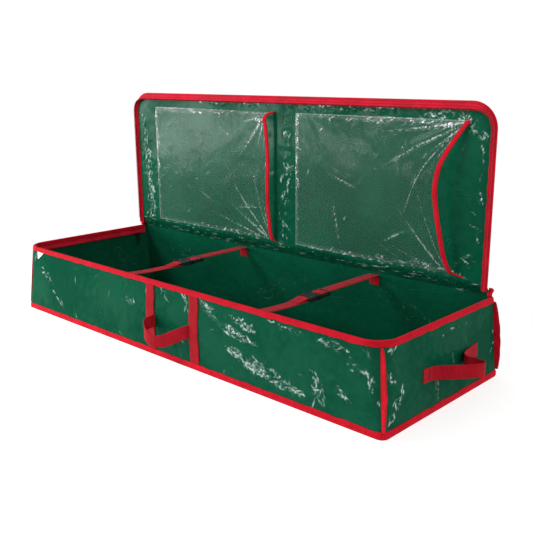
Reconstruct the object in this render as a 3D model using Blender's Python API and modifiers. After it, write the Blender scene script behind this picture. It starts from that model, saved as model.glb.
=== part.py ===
"""Gift wrap organizer: a long, low box of woven polythene with a zip-on lid.

The box stands on its floor, centred on the origin, with its front along -Y.
The lid is modelled open, standing on the fold along the back wall, and it
carries two clear pockets on its inner face. Two webbing straps with
side-release buckles cross the box, and webbing handles hang on the front and
on both ends.
"""

import math

import bmesh
import bpy
from mathutils import Euler, Vector

# Overall box
LENGTH = 1.030
WIDTH = 0.356
HEIGHT = 0.156

# Walls
WALL_THICK = 0.0025
RIM_RADIUS = 0.045
FOOT_RADIUS = 0.012
END_FLARE = 0.007
FRONT_FLARE = 0.0005
BACK_FLARE = 0.018
LONG_BULGE = 0.003
END_BULGE = 0.005
FLOOR_THICK = 0.0015
BOARD_THICK = 0.003
BOARD_CLEAR = 0.002
FIT_GAP = 0.0003

# Bias tape bindings
TAPE_THICK = 0.0012
RIM_LEG = 0.0095
FOOT_TAPE_HEIGHT = 0.012
FOOT_TAPE_CROWN = 0.0010
FIN_WIDTH = 0.012
FIN_THICK = 0.0022
FIN_FOLD_END = math.radians(65.0)
FIN_FOLD_MIDDLE = math.radians(30.0)

# Zip fastener
ZIP_TAPE_THICK = 0.0010
ZIP_COIL_RADIUS = 0.0013
BASE_TAPE_DROP = 0.019
BASE_TAPE_FLOP = 0.0045
SLIDER_LENGTH = 0.010
SLIDER_PLATE = 0.0012
SLIDER_CLEAR = 0.0010
SLIDER_UP = 0.0008
SLIDER_REAR_GAP = 0.020
PULL_LENGTH = 0.030
PULL_WIDTH = 0.0075
PULL_THICK = 0.0014
PULL_PIN_RADIUS = 0.0009
PULL_CLEAR = 0.0006
END_TAB_HEIGHT = 0.014
END_TAB_DEPTH = 0.012

# Lid
LID_HINGE_RISE = 0.020
HINGE_INSET = 0.014
LID_DEPTH = 0.329
LID_INSET = 0.0108
LID_RADIUS = 0.048
LID_LEAN = math.radians(0.8)
SHEET_THICK = 0.0008
LID_BOARD_THICK = 0.0016
FOLD_RADIUS = 0.0019
FOLD_TONGUE = 0.006
LID_LEG = 0.0085
SKIRT_START = 0.014
SIDE_SKIRT = 0.005
TOP_SKIRT = 0.0127
TOP_DROOP = math.radians(64.0)

# Clear pockets on the inside of the lid
FILM_THICK = 0.0005
POCKET_FOOT = 0.010
POCKET_TOP = 0.296
LEFT_SEAM_INSET = 0.090
LEFT_POCKET_LENGTH = 0.4115
LEFT_POCKET_GAPE = 0.012
LEFT_MOUTH_PULL = 0.009
RIGHT_MOUTH_INSET = 0.059
RIGHT_POCKET_LENGTH = 0.410
RIGHT_POCKET_GAPE = 0.024
RIGHT_MOUTH_PULL = 0.048
MOUTH_TAPE_WIDTH = 0.008
MOUTH_TAPE_THICK = 0.0009

# Webbing
WEB_WIDTH = 0.025
WEB_THICK = 0.0015
HANDLE_THICK = 0.0018
LEFT_WEB_X = -0.042
RIGHT_WEB_X = 0.088
HANDLE_HEIGHT = 0.075
FRONT_LOOP_REACH = 0.042
FRONT_LOOP_DROP = 0.026
END_HANDLE_Y = 0.0175
END_HANDLE_SPAN = 0.179
END_LOOP_REACH = 0.054
END_FRONT_TAB = 0.016
END_REAR_TAB = 0.024

# Straps and side-release buckles
LEFT_STRAP_INSET = 0.3825
RIGHT_STRAP_INSET = 0.2675
LEFT_BUCKLE_Y = 0.006
RIGHT_BUCKLE_Y = -0.014
STRAP_DROP = 0.007
BUCKLE_DROP = 0.0095
STRAP_TAIL = 0.024
STRAP_TAB = 0.022
BUCKLE_WIDTH = 0.034
SOCKET_LENGTH = 0.036
SOCKET_THICK = 0.009
SOCKET_WALL = 0.0014
SOCKET_EDGE = 0.0008
CAVITY_DEPTH = 0.025
CAVITY_THICK = 0.0052
BAR_WIDTH = 0.0037
BAR_THICK = 0.0032
PRONG_LENGTH = 0.0225
PRONG_THICK = 0.0044
PLUG_LENGTH = 0.028
PLUG_DECK = 0.0024
PLUG_FLOOR = 0.0030
KEEPER_THICK = 0.0015

# White care label tucked under the rim binding
LABEL_INSET = 0.049
LABEL_WIDTH = 0.027
LABEL_DROP = 0.017
LABEL_THICK = 0.0004

# Counts
ARC_STEPS = 3
LID_ARC_STEPS = 6
FOLD_TURNS = 12
BAR_TURNS = 6
LONG_STEPS = 12
SHORT_STEPS = 8
WALL_ROWS = 5
FILM_COLUMNS = 12
FILM_ROWS = 12

# The fin's root stands this share of its thickness clear of the corner
FIN_ROOT_SHARE = 0.6
# The knot at a zip end: where its swell starts and stops, how far it sways, and how wide and deep it gets
KNOT_SWELL_SHARES = (0.12, 0.88)
KNOT_SWAY_SHARE = 0.22
KNOT_WIDE_SHARES = (0.55, 1.00)
KNOT_DEEP_SHARES = (0.35, 0.75)
# The pull tab: its neck, its swell, its thick head and its eye, as shares of its width and length
PULL_NECK_SHARE = 0.62
PULL_SWELL_SHARES = (0.12, 0.92)
PULL_TAPER_SHARE = 0.25
PULL_EYE_SHARES = (0.45, 0.82)
PULL_EYE_WIDE_SHARE = 0.40
# A pocket's film starts to stand off for the mouth's tape at this share of its length
MOUTH_SHARE = 2.0 / 3.0
# The label's width at its tip, and the knee of a strap that turns down the back wall
LABEL_TIP_SHARE = 0.18
STRAP_KNEE_SHARE = 0.3
# The socket's side windows along its cavity, and the plug's front window and rear one along the plug
SOCKET_WINDOW_SHARES = (0.80, 0.30)
WINDOW_SHARES = (0.30, 0.46, 0.62)
# The guide's share of the prongs' length, and a prong's outline as shares of half width and length
GUIDE_SHARE = 0.9
PRONG_SHARES = (
    (0.50, -0.12), (0.50, 0.62), (0.66, 1.00), (0.86, 1.00),
    (1.00, 0.74), (1.00, 0.40), (0.72, 0.22), (0.72, -0.12),
)
# Shares of a loop's span, reach and drop, from one sewn end to the other
FRONT_LOOP_SHARES = (
    (0.00, 0.00, 0.00), (0.00, 0.04, 0.00), (0.00, 0.08, 0.00), (0.00, 0.24, 0.04), (-0.04, 0.50, 0.18),
    (0.00, 0.78, 0.42), (0.13, 0.98, 0.72), (0.32, 1.00, 0.96), (0.53, 0.82, 0.88), (0.76, 0.50, 0.45),
    (0.94, 0.24, 0.10), (1.00, 0.08, 0.00), (1.00, 0.04, 0.00), (1.00, 0.00, 0.00),
)
# Shares of the loop's span and reach, in plan, from the front tab to the rear tab
END_LOOP_SHARES = (
    (0.00, 0.00), (0.06, 0.02), (0.17, 0.22), (0.36, 0.64), (0.52, 0.94), (0.61, 1.00),
    (0.65, 0.86), (0.66, 0.58), (0.65, 0.34), (0.71, 0.15), (0.84, 0.04), (1.00, 0.00),
)
FRONT_LOOP_SAMPLES = 39
END_LOOP_SAMPLES = 30

GREEN = (0.020, 0.115, 0.068, 1.0)
DARK_GREEN = (0.010, 0.070, 0.042, 1.0)
TAPE_RED = (0.62, 0.012, 0.030, 1.0)
WEB_RED = (0.45, 0.016, 0.038, 1.0)
BLACK = (0.012, 0.012, 0.013, 1.0)
CLEAR = (0.86, 0.89, 0.88, 1.0)
WHITE = (0.86, 0.86, 0.86, 1.0)
CARD = (0.42, 0.33, 0.22, 1.0)

BEND = math.pi / 4.0
SHARP_ANGLE = math.radians(35.0)
CORNERS = {"front": ("front", "front"), "right": ("front", "rear"),
           "back": ("rear", "rear"), "left": ("rear", "front")}
DIRECTIONS = {"front": (1.0, 0.0), "right": (0.0, 1.0), "back": (-1.0, 0.0), "left": (0.0, -1.0)}


def clear_scene():
    """Remove every object that the file opened with."""
    for item in list(bpy.data.objects):
        bpy.data.objects.remove(item, do_unlink=True)


def new_collection(name):
    """A collection linked to the scene."""
    collection = bpy.data.collections.new(name)
    bpy.context.scene.collection.children.link(collection)
    return collection


def finish_material(name, colour, roughness, alpha=1.0):
    """A Principled material of one colour."""
    material = bpy.data.materials.new(name)
    material.use_nodes = True
    shader = material.node_tree.nodes["Principled BSDF"]
    shader.inputs["Base Color"].default_value = colour
    shader.inputs["Roughness"].default_value = roughness
    shader.inputs["Metallic"].default_value = 0.0
    shader.inputs["Alpha"].default_value = alpha
    material.diffuse_color = colour
    return material


class Shop:
    """The collections that the pieces and the cutters go into."""

    def __init__(self):
        self.parts = new_collection("gift_wrap_organizer")
        self.cutters = new_collection("cutters")

    def add(self, name, mesh, finish, origin=(0.0, 0.0, 0.0), parent=None):
        """Link a mesh as a named piece whose origin is moved to a point of its own."""
        start = Vector(origin)
        for vertex in mesh.vertices:
            vertex.co -= start
        item = bpy.data.objects.new(name, mesh)
        item.location = start
        item.parent = parent
        mesh.materials.append(finish_material(name, *finish))
        self.parts.objects.link(item)
        return item

    def cutter(self, name, low, high, parent=None):
        """A box between two corners, kept out of the model, that cuts another piece."""
        mesh = box_mesh(name, low, high)
        item = bpy.data.objects.new(name, mesh)
        item.hide_render = True
        item.display_type = "WIRE"
        item.parent = parent
        self.cutters.objects.link(item)
        return item


PE_GREEN = (GREEN, 0.35)
PE_DARK = (DARK_GREEN, 0.40)
BINDING = (TAPE_RED, 0.65)
WEBBING = (WEB_RED, 0.80)
PLASTIC = (BLACK, 0.40)
FILM = (CLEAR, 0.08, 0.30)
PAPER = (WHITE, 0.70)
BOARD = (CARD, 0.85)


def mesh_from(name, bm):
    """Turn a bmesh into a mesh with every face pointing out of the body."""
    bmesh.ops.recalc_face_normals(bm, faces=bm.faces)
    mesh = bpy.data.meshes.new(name)
    bm.to_mesh(mesh)
    bm.free()
    mesh.shade_smooth()
    mesh.set_sharp_from_angle(angle=SHARP_ANGLE)
    return mesh


def box_mesh(name, low, high):
    """A box between two opposite corners."""
    bm = bmesh.new()
    bmesh.ops.create_cube(bm, size=1.0)
    middle = (Vector(low) + Vector(high)) / 2.0
    size = Vector(high) - Vector(low)
    for vertex in bm.verts:
        vertex.co = Vector(vertex.co[axis] * size[axis] + middle[axis] for axis in range(3))
    return mesh_from(name, bm)


def loft(name, rings, closed=False):
    """Join a row of like rings with quads, and cap its ends unless the row closes on itself."""
    bm = bmesh.new()
    rows = [[bm.verts.new(point) for point in ring] for ring in rings]
    count = len(rows[0])
    pairs = list(zip(rows, rows[1:]))
    if closed:
        pairs.append((rows[-1], rows[0]))
    for first, second in pairs:
        for index in range(count):
            after = (index + 1) % count
            bm.faces.new((first[index], first[after], second[after], second[index]))
    if not closed:
        bm.faces.new(rows[0])
        bm.faces.new(rows[-1])
    return mesh_from(name, bm)


def plate(name, outline, low, high):
    """An outline in X and Y extruded between two heights."""
    bm = bmesh.new()
    face = bm.faces.new([bm.verts.new((x, y, low)) for x, y in outline])
    pushed = bmesh.ops.extrude_face_region(bm, geom=[face])
    for item in pushed["geom"]:
        if isinstance(item, bmesh.types.BMVert):
            item.co.z = high
    return mesh_from(name, bm)


def solidify(item, thickness):
    """Give an open surface its thickness, half to each side."""
    modifier = item.modifiers.new("thickness", "SOLIDIFY")
    modifier.thickness = thickness
    modifier.offset = 0.0
    modifier.use_even_offset = True


def bevel(item, width):
    """Break the edges of a moulded piece."""
    modifier = item.modifiers.new("edges", "BEVEL")
    modifier.width = width
    modifier.segments = 1
    modifier.limit_method = "ANGLE"


def combine(item, other, operation):
    """Cut or join a piece with another solid."""
    modifier = item.modifiers.new(other.name, "BOOLEAN")
    modifier.operation = operation
    modifier.solver = "EXACT"
    modifier.object = other


def smooth_step(share):
    """A share from 0 to 1 with level ends."""
    held = min(1.0, max(0.0, share))
    return held * held * (3.0 - 2.0 * held)


def blend_value(first, second, share):
    """The value at a share of the way from the first to the second."""
    return first + (second - first) * share


def spline(points, samples):
    """Points along a smooth curve through the given ones."""
    last = len(points) - 1
    curve = []
    for step in range(samples + 1):
        place = step * last / samples
        index = min(int(place), last - 1)
        share = place - index
        before = Vector(points[max(index - 1, 0)])
        start = Vector(points[index])
        end = Vector(points[index + 1])
        after = Vector(points[min(index + 2, last)])
        lean_out = (end - before) / 2.0
        lean_in = (after - start) / 2.0
        square = share * share
        cube = square * share
        curve.append(start * (2.0 * cube - 3.0 * square + 1.0) + lean_out * (cube - 2.0 * square + share)
                     + end * (3.0 * square - 2.0 * cube) + lean_in * (cube - square))
    return curve


def half_length(share):
    """Half the box's length at a share of its height."""
    return LENGTH / 2.0 + END_FLARE * (1.0 - share)


def front_line(share):
    """Y of the front wall at a share of the height."""
    return -WIDTH / 2.0 - FRONT_FLARE * (1.0 - share)


def back_line(share):
    """Y of the back wall at a share of the height."""
    return WIDTH / 2.0 + BACK_FLARE * (1.0 - share)


def corner_radius(kind, share):
    """Radius of a corner: the front ones open out towards the rim for the zip."""
    if kind == "rear":
        return FOOT_RADIUS
    return blend_value(FOOT_RADIUS, RIM_RADIUS, share)


def wall_ends(side, share):
    """The sharp corners that a wall runs between."""
    x = half_length(share)
    front = front_line(share)
    back = back_line(share)
    ends = {"front": ((-x, front), (x, front)), "right": ((x, front), (x, back)),
            "back": ((x, back), (-x, back)), "left": ((-x, back), (-x, front))}
    return Vector(ends[side][0]), Vector(ends[side][1])


def faceted(curve, place, knots):
    """A curve read along the straight facets between its knots."""
    for low, high in zip(knots, knots[1:]):
        if place <= high:
            return blend_value(curve(low), curve(high), (place - low) / (high - low))
    return curve(knots[-1])


def level_shares():
    """Shares of the height at which a wall's facets meet."""
    foot = FOOT_TAPE_HEIGHT / HEIGHT
    leg = 1.0 - RIM_LEG / HEIGHT
    return [0.0] + [blend_value(foot, leg, step / WALL_ROWS) for step in range(WALL_ROWS + 1)] + [1.0]


def levels_between(low, high):
    """The two heights given and every facet height between them."""
    inner = [HEIGHT * share for share in level_shares() if low + FIT_GAP < HEIGHT * share < high - FIT_GAP]
    return [low] + inner + [high]


def wall_steps(side):
    """Facets along a wall's straight run."""
    return LONG_STEPS if side in ("front", "back") else SHORT_STEPS


def wall_bulge(side, share, along):
    """How far a wall bows out at a share of its height and of its straight run."""
    depth = LONG_BULGE if side in ("front", "back") else END_BULGE
    steps = wall_steps(side)
    height = faceted(lambda place: math.sin(math.pi * place) ** 2, max(0.0, share), level_shares())
    knots = [step / steps for step in range(steps + 1)]
    run = faceted(lambda place: math.sin(math.pi * place), along, knots)
    return depth * height * run


def wall_line(side, share, offset, start_trim=0.0, end_trim=0.0):
    """Points along a wall's outer face, from one corner seam to the next, pushed out by an offset."""
    along = Vector(DIRECTIONS[side])
    out = Vector((along.y, -along.x))
    first, last = wall_ends(side, share)
    start_radius = corner_radius(CORNERS[side][0], share)
    end_radius = corner_radius(CORNERS[side][1], share)
    steps = wall_steps(side)
    points = []
    centre = first + along * start_radius - out * start_radius
    reach = start_radius + offset
    begin = BEND + start_trim / reach
    for step in range(ARC_STEPS):
        angle = blend_value(begin, 2.0 * BEND, step / ARC_STEPS)
        points.append(centre + (out * math.sin(angle) - along * math.cos(angle)) * reach)
    start = first + along * start_radius
    end = last - along * end_radius
    for step in range(steps + 1):
        run = step / steps
        points.append(start.lerp(end, run) + out * (offset + wall_bulge(side, share, run)))
    centre = last - along * end_radius - out * end_radius
    reach = end_radius + offset
    finish = BEND + end_trim / reach
    for step in range(1, ARC_STEPS + 1):
        angle = blend_value(2.0 * BEND, finish, step / ARC_STEPS)
        points.append(centre + (out * math.sin(angle) + along * math.cos(angle)) * reach)
    return points


def wall_at(side, along, z, offset):
    """The point on a wall at a place along it and a height, pushed out by an offset."""
    share = z / HEIGHT
    first, last = wall_ends(side, share)
    direction = Vector(DIRECTIONS[side])
    out = Vector((direction.y, -direction.x))
    start_radius = corner_radius(CORNERS[side][0], share)
    run_length = (last - first).length
    place = Vector((along, along)).dot(direction) - first.dot(direction)
    inside = start_radius - place
    if inside > 0.0:
        bow = math.sqrt(max(0.0, start_radius ** 2 - inside ** 2)) - start_radius
    else:
        straight = run_length - start_radius - corner_radius(CORNERS[side][1], share)
        bow = wall_bulge(side, share, min(1.0, -inside / straight))
    spot = first + direction * place + out * (offset + bow)
    return Vector((spot.x, spot.y, z))


def route(sides, share, offset, trim=0.0):
    """One line along several walls in turn."""
    points = []
    for index, side in enumerate(sides):
        start = trim if index == 0 else 0.0
        end = trim if index == len(sides) - 1 else 0.0
        line = wall_line(side, share, offset, start, end)
        points.extend(line if index == len(sides) - 1 else line[:-1])
    return points


def band(name, sides, section, closed=False, trim=0.0):
    """Sweep a section of heights and offsets along the walls."""
    lines = []
    for z, offset in section:
        flat = route(sides, z / HEIGHT, offset, trim)
        if closed:
            flat = flat[:-1]
        lines.append([Vector((point.x, point.y, z)) for point in flat])
    return loft(name, [list(ring) for ring in zip(*lines)], closed)


def ribbon(name, path, across, width, thickness):
    """A flat strap along a path, its width made square to the path from a given direction."""
    rings = []
    last = len(path) - 1
    for index, point in enumerate(path):
        tangent = (path[min(index + 1, last)] - path[max(index - 1, 0)]).normalized()
        side = (across - tangent * across.dot(tangent)).normalized()
        face = tangent.cross(side)
        half_side = side * width / 2.0
        half_face = face * thickness / 2.0
        rings.append([point - half_side - half_face, point + half_side - half_face,
                      point + half_side + half_face, point - half_side + half_face])
    return loft(name, rings)


WALL_FOOT = FLOOR_THICK + FIT_GAP
INNER_LEG = WALL_THICK + FIT_GAP + ZIP_TAPE_THICK + FIT_GAP
HINGE_HEIGHT = HEIGHT + LID_HINGE_RISE
HINGE_Y = WIDTH / 2.0 - WALL_THICK / 2.0 - HINGE_INSET


def build_walls(shop):
    """Four stiffened fabric walls that meet at the corner seams."""
    tops = {"front": HEIGHT - TAPE_THICK - FIT_GAP, "left": HEIGHT - TAPE_THICK - FIT_GAP,
            "right": HEIGHT - TAPE_THICK - FIT_GAP, "back": HEIGHT - FIT_GAP}
    names = {"front": "front_panel", "right": "right_end_panel",
             "back": "back_panel", "left": "left_end_panel"}
    for side, top in tops.items():
        rings = []
        trim = FIT_GAP / 2.0
        for z in levels_between(WALL_FOOT, top):
            outer = wall_line(side, z / HEIGHT, 0.0, trim, trim)
            inner = wall_line(side, z / HEIGHT, -WALL_THICK, trim, trim)
            rings.append([Vector((point.x, point.y, z)) for point in outer + inner[::-1]])
        shop.add(names[side], loft(names[side], rings), PE_GREEN)


def build_floor(shop):
    """The fabric floor that the walls stand on, and the loose stiffener board inside."""
    sides = ("front", "right", "back", "left")
    outline = route(sides, 0.0, 0.0)[:-1]
    shop.add("bottom_panel", plate("bottom_panel", outline, 0.0, FLOOR_THICK), PE_GREEN)
    low = FLOOR_THICK + FIT_GAP
    inner = route(sides, low / HEIGHT, -WALL_THICK - BOARD_CLEAR)[:-1]
    shop.add("bottom_board", plate("bottom_board", inner, low, low + BOARD_THICK), PE_DARK)


def build_bindings(shop):
    """The tape round the foot, the folded tape over the rim and the fins at the corners."""
    near = FIT_GAP
    far = FIT_GAP + TAPE_THICK
    crown = far + FOOT_TAPE_CROWN
    foot = [(0.0, near), (0.0, far), (FOOT_TAPE_HEIGHT / 3.0, crown), (FOOT_TAPE_HEIGHT * 2.0 / 3.0, crown),
            (FOOT_TAPE_HEIGHT, far), (FOOT_TAPE_HEIGHT, near)]
    sides = ("front", "right", "back", "left")
    shop.add("bottom_binding", band("bottom_binding", sides, foot, closed=True), BINDING)
    foot_leg = HEIGHT - RIM_LEG
    under = HEIGHT - TAPE_THICK
    deep = -INNER_LEG
    deeper = deep - TAPE_THICK
    rim = [(foot_leg, near), (foot_leg, far), (under, far), (HEIGHT, near), (HEIGHT, deep),
           (under, deeper), (foot_leg, deeper), (foot_leg, deep), (under, deep), (under, near)]
    trim = FIT_GAP
    shop.add("rim_binding", band("rim_binding", ("left", "front", "right"), rim, trim=trim), BINDING)
    fins = {"front_left": (-1.0, -1.0), "front_right": (1.0, -1.0),
            "rear_right": (1.0, 1.0), "rear_left": (-1.0, 1.0)}
    for place, (x_sign, y_sign) in fins.items():
        name = place + "_corner_binding"
        shop.add(name, corner_fin(name, x_sign, y_sign), BINDING)


def corner_fin(name, x_sign, y_sign):
    """A bound seam that stands out of a corner and lies over towards the end wall."""
    low = FOOT_TAPE_HEIGHT + FIT_GAP
    high = HEIGHT - RIM_LEG - FIT_GAP
    radial = Vector((x_sign, y_sign, 0.0)).normalized()
    sideways = Vector((x_sign, -y_sign, 0.0)).normalized()
    kind = "rear" if y_sign > 0.0 else "front"
    rings = []
    steps = 2 * WALL_ROWS
    for step in range(steps + 1):
        run = step / steps
        z = blend_value(low, high, run)
        share = z / HEIGHT
        radius = corner_radius(kind, share)
        edge = back_line(share) if y_sign > 0.0 else front_line(share)
        centre = Vector((x_sign * (half_length(share) - radius), edge - y_sign * radius, z))
        root = centre + radial * (radius + FIT_GAP + FIN_THICK * FIN_ROOT_SHARE)
        fold = blend_value(FIN_FOLD_END, FIN_FOLD_MIDDLE, math.sin(math.pi * run))
        blade = radial * math.cos(fold) + sideways * math.sin(fold)
        face = sideways * math.cos(fold) - radial * math.sin(fold)
        half = face * FIN_THICK / 2.0
        lip = blade * (FIN_WIDTH - FIN_THICK / 2.0)
        tip = root + blade * FIN_WIDTH
        rings.append([root - half, root + lip - half, tip, root + lip + half, root + half])
    return loft(name, rings)


def tape_foot():
    """Height and offset of the lower edge of the zip tape inside the box."""
    offset = -(WALL_THICK + FIT_GAP + ZIP_TAPE_THICK / 2.0) - BASE_TAPE_FLOP
    return HEIGHT - BASE_TAPE_DROP, offset


def build_base_zip(shop):
    """The zip's lower half, which hangs inside the rim, and the tabs at its ends."""
    top = HEIGHT - TAPE_THICK - FIT_GAP
    bend = HEIGHT - RIM_LEG - FIT_GAP
    near = -(WALL_THICK + FIT_GAP)
    far = near - ZIP_TAPE_THICK
    foot, middle = tape_foot()
    half = ZIP_TAPE_THICK / 2.0
    section = [(top, near), (bend, near), (foot, middle + half),
               (foot, middle - half), (bend, far), (top, far)]
    sides = ("left", "front", "right")
    shop.add("base_zipper_tape", band("base_zipper_tape", sides, section, trim=FIT_GAP), BINDING)
    centre = foot - FIT_GAP - ZIP_COIL_RADIUS
    coil = hexagon(centre, middle, ZIP_COIL_RADIUS)
    shop.add("base_zipper_coil", band("base_zipper_coil", sides, coil, trim=FIT_GAP), BINDING)
    for name, sign in (("left", -1.0), ("right", 1.0)):
        build_end_tab(shop, name, sign)
        build_slider(shop, name, sign)


def hexagon(first, second, radius):
    """Six points round a centre given by two values."""
    turns = [math.pi * step / 3.0 for step in range(6)]
    return [(first + radius * math.cos(turn), second + radius * math.sin(turn)) for turn in turns]


def build_end_tab(shop, place, sign):
    """The knotted end of the zip tape, folded over the rear corner of the rim."""
    outer = LENGTH / 2.0 - FIT_GAP
    inner = LENGTH / 2.0 - LID_INSET + 2.0 * FIT_GAP
    rear = WIDTH / 2.0 - WALL_THICK
    low = HEIGHT + FIT_GAP
    steps = 2 * WALL_ROWS
    rings = []
    for step in range(steps + 1):
        run = step / steps
        swell = math.sin(math.pi * blend_value(*KNOT_SWELL_SHARES, run))
        z = blend_value(low, low + END_TAB_HEIGHT, run)
        y = rear - END_TAB_DEPTH * (0.5 + KNOT_SWAY_SHARE * math.sin(2.0 * math.pi * run))
        half_x = (outer - inner) / 2.0 * blend_value(*KNOT_WIDE_SHARES, swell)
        half_y = END_TAB_DEPTH / 2.0 * blend_value(*KNOT_DEEP_SHARES, swell)
        centre = Vector((sign * (outer + inner) / 2.0, y, z))
        rings.append([centre + Vector((half_x * math.cos(turn), half_y * math.sin(turn), 0.0))
                      for turn in (math.pi * spot / 4.0 for spot in range(8))])
    name = place + "_zipper_end_tab"
    shop.add(name, loft(name, rings), BINDING)


def build_slider(shop, place, sign):
    """A zip slider parked at the rear end of the coil, with its pull tab hanging inside."""
    side = "right" if sign > 0.0 else "left"
    foot, middle = tape_foot()
    coil_z = foot - FIT_GAP - ZIP_COIL_RADIUS
    y = WIDTH / 2.0 - FOOT_RADIUS - SLIDER_REAR_GAP
    spot = wall_at(side, y, coil_z, middle)
    half_width = ZIP_COIL_RADIUS + SLIDER_CLEAR + SLIDER_PLATE
    bottom = coil_z - ZIP_COIL_RADIUS - FIT_GAP - SLIDER_PLATE
    top = foot + SLIDER_UP
    half = SLIDER_LENGTH / 2.0
    name = place + "_zipper_slider"
    low = Vector((spot.x - half_width, y - half, bottom))
    high = Vector((spot.x + half_width, y + half, top))
    body = shop.add(name, box_mesh(name, low, high), PLASTIC, origin=(spot.x, y, coil_z))
    groove = ZIP_COIL_RADIUS + SLIDER_CLEAR
    channel = shop.cutter(name + "_channel", (spot.x - groove, y - half * 2.0, bottom + SLIDER_PLATE),
                          (spot.x + groove, y + half * 2.0, top + SLIDER_PLATE))
    combine(body, channel, "DIFFERENCE")
    build_pull(shop, place, sign, spot.x - sign * half_width, y, top)


def build_pull(shop, place, sign, face_x, y, top):
    """A pull tab on a pin beside the slider's inner plate."""
    pin_x = face_x - sign * (PULL_CLEAR + PULL_PIN_RADIUS)
    pin_z = top - PULL_PIN_RADIUS
    name = place + "_pull_tab"
    steps = 2 * WALL_ROWS
    rings = []
    for step in range(steps + 1):
        run = step / steps
        swell = math.sin(math.pi * blend_value(*PULL_SWELL_SHARES, run))
        half_y = PULL_WIDTH / 2.0 * blend_value(PULL_NECK_SHARE, 1.0, swell)
        thick = blend_value(PULL_PIN_RADIUS * 2.0, PULL_THICK, smooth_step(run / PULL_TAPER_SHARE)) / 2.0
        z = pin_z + PULL_PIN_RADIUS - PULL_LENGTH * run
        rings.append([Vector((pin_x + x, y + side_y, z)) for x, side_y in
                      ((-thick, -half_y), (thick, -half_y), (thick, half_y), (-thick, half_y))])
    tab = shop.add(name, loft(name, rings), PLASTIC, origin=(pin_x, y, pin_z))
    half_eye = PULL_WIDTH * PULL_EYE_WIDE_SHARE / 2.0
    eye_top, eye_foot = (pin_z - PULL_LENGTH * share for share in PULL_EYE_SHARES)
    hole = shop.cutter(name + "_eye", (pin_x - PULL_WIDTH, y - half_eye, eye_foot),
                       (pin_x + PULL_WIDTH, y + half_eye, eye_top))
    combine(tab, hole, "DIFFERENCE")


def build_fabric_hinge(shop):
    """The strip of cloth that leans in from the back wall's top to the fold that the lid turns on."""
    half_x = LENGTH / 2.0 - FOOT_RADIUS
    top = HINGE_HEIGHT - FOLD_RADIUS - FIT_GAP
    section = [(WIDTH / 2.0 - WALL_THICK, HEIGHT), (WIDTH / 2.0, HEIGHT),
               (HINGE_Y + WALL_THICK / 2.0, top), (HINGE_Y - WALL_THICK / 2.0, top)]
    rings = [[Vector((x, y, z)) for y, z in section] for x in (-half_x, half_x)]
    shop.add("fabric_hinge", loft("fabric_hinge", rings), PE_GREEN)


LID_HALF = LID_BOARD_THICK / 2.0 + FIT_GAP + SHEET_THICK
LID_HALF_LENGTH = LENGTH / 2.0 - LID_INSET
SHEET_FOOT = FOLD_RADIUS + FOLD_TONGUE * 2.0 / 3.0
BOARD_FOOT = FOLD_RADIUS + FOLD_TONGUE + FIT_GAP


def lid_line(offset, foot):
    """The lid's edge in X and Z, up one side, over the top and down the other, moved in by an offset."""
    half_x = LID_HALF_LENGTH - offset
    top = LID_DEPTH - offset
    radius = LID_RADIUS - offset
    left = [(-half_x, blend_value(foot, top - radius, step / SHORT_STEPS)) for step in range(SHORT_STEPS)]
    for step in range(LID_ARC_STEPS):
        angle = math.pi / 2.0 * step / LID_ARC_STEPS
        left.append((-half_x + radius * (1.0 - math.cos(angle)), top - radius * (1.0 - math.sin(angle))))
    run = half_x - radius
    top_points = [(blend_value(-run, run, step / LONG_STEPS), top) for step in range(LONG_STEPS + 1)]
    return left + top_points + [(-x, z) for x, z in reversed(left)]


def lid_station_shares():
    """How far each point of the lid's edge belongs to the top run, from 0 on the sides to 1 on the top."""
    left = [0.0] * SHORT_STEPS + [smooth_step(step / LID_ARC_STEPS) for step in range(LID_ARC_STEPS)]
    return left + [1.0] * (LONG_STEPS + 1) + list(reversed(left))


def lid_sheet(name, foot, front, back, margin):
    """A flat layer of the lid between two depths."""
    outline = lid_line(margin, foot)
    rings = [[Vector((x, depth, z)) for x, z in outline] for depth in (front, back)]
    return loft(name, rings)


def lid_band(name, section_at):
    """Sweep a section of depths and inward offsets along the lid's edge."""
    shares = lid_station_shares()
    count = len(section_at(shares[0]))
    rings = [[] for _ in shares]
    for point in range(count):
        offsets = [section_at(share)[point] for share in shares]
        for index, (depth, offset) in enumerate(offsets):
            x, z = lid_line(offset, SKIRT_START)[index]
            rings[index].append(Vector((x, depth, z)))
    return loft(name, rings)


def build_lid(shop, hinge):
    """The lid's layers, its bound edge and the zip's upper half."""
    front = -LID_HALF
    back = LID_HALF
    lining = lid_sheet("lid_lining", SHEET_FOOT, front, front + SHEET_THICK, 0.0)
    shop.add("lid_lining", lining, PE_GREEN, parent=hinge)
    cover = lid_sheet("lid_cover", SHEET_FOOT, back - SHEET_THICK, back, 0.0)
    shop.add("lid_cover", cover, PE_GREEN, parent=hinge)
    board_half = LID_BOARD_THICK / 2.0
    board = lid_sheet("lid_board", BOARD_FOOT, -board_half, board_half, LID_LEG / 3.0)
    shop.add("lid_board", board, BOARD, parent=hinge)
    build_fold(shop, hinge)
    near = LID_HALF + FIT_GAP
    far = near + TAPE_THICK
    out = -FIT_GAP
    crest = out - TAPE_THICK
    edge = [(-near, LID_LEG), (-far, LID_LEG), (-far, out), (-near, crest), (near, crest), (far, out),
            (far, LID_LEG), (near, LID_LEG), (near, out), (-near, out)]
    shop.add("lid_edge_binding", lid_band("lid_edge_binding", lambda share: edge), BINDING, parent=hinge)
    shop.add("lid_zipper_tape", lid_band("lid_zipper_tape", skirt_section), BINDING, parent=hinge)
    shop.add("lid_zipper_coil", lid_band("lid_zipper_coil", lid_coil_section), BINDING, parent=hinge)


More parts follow.
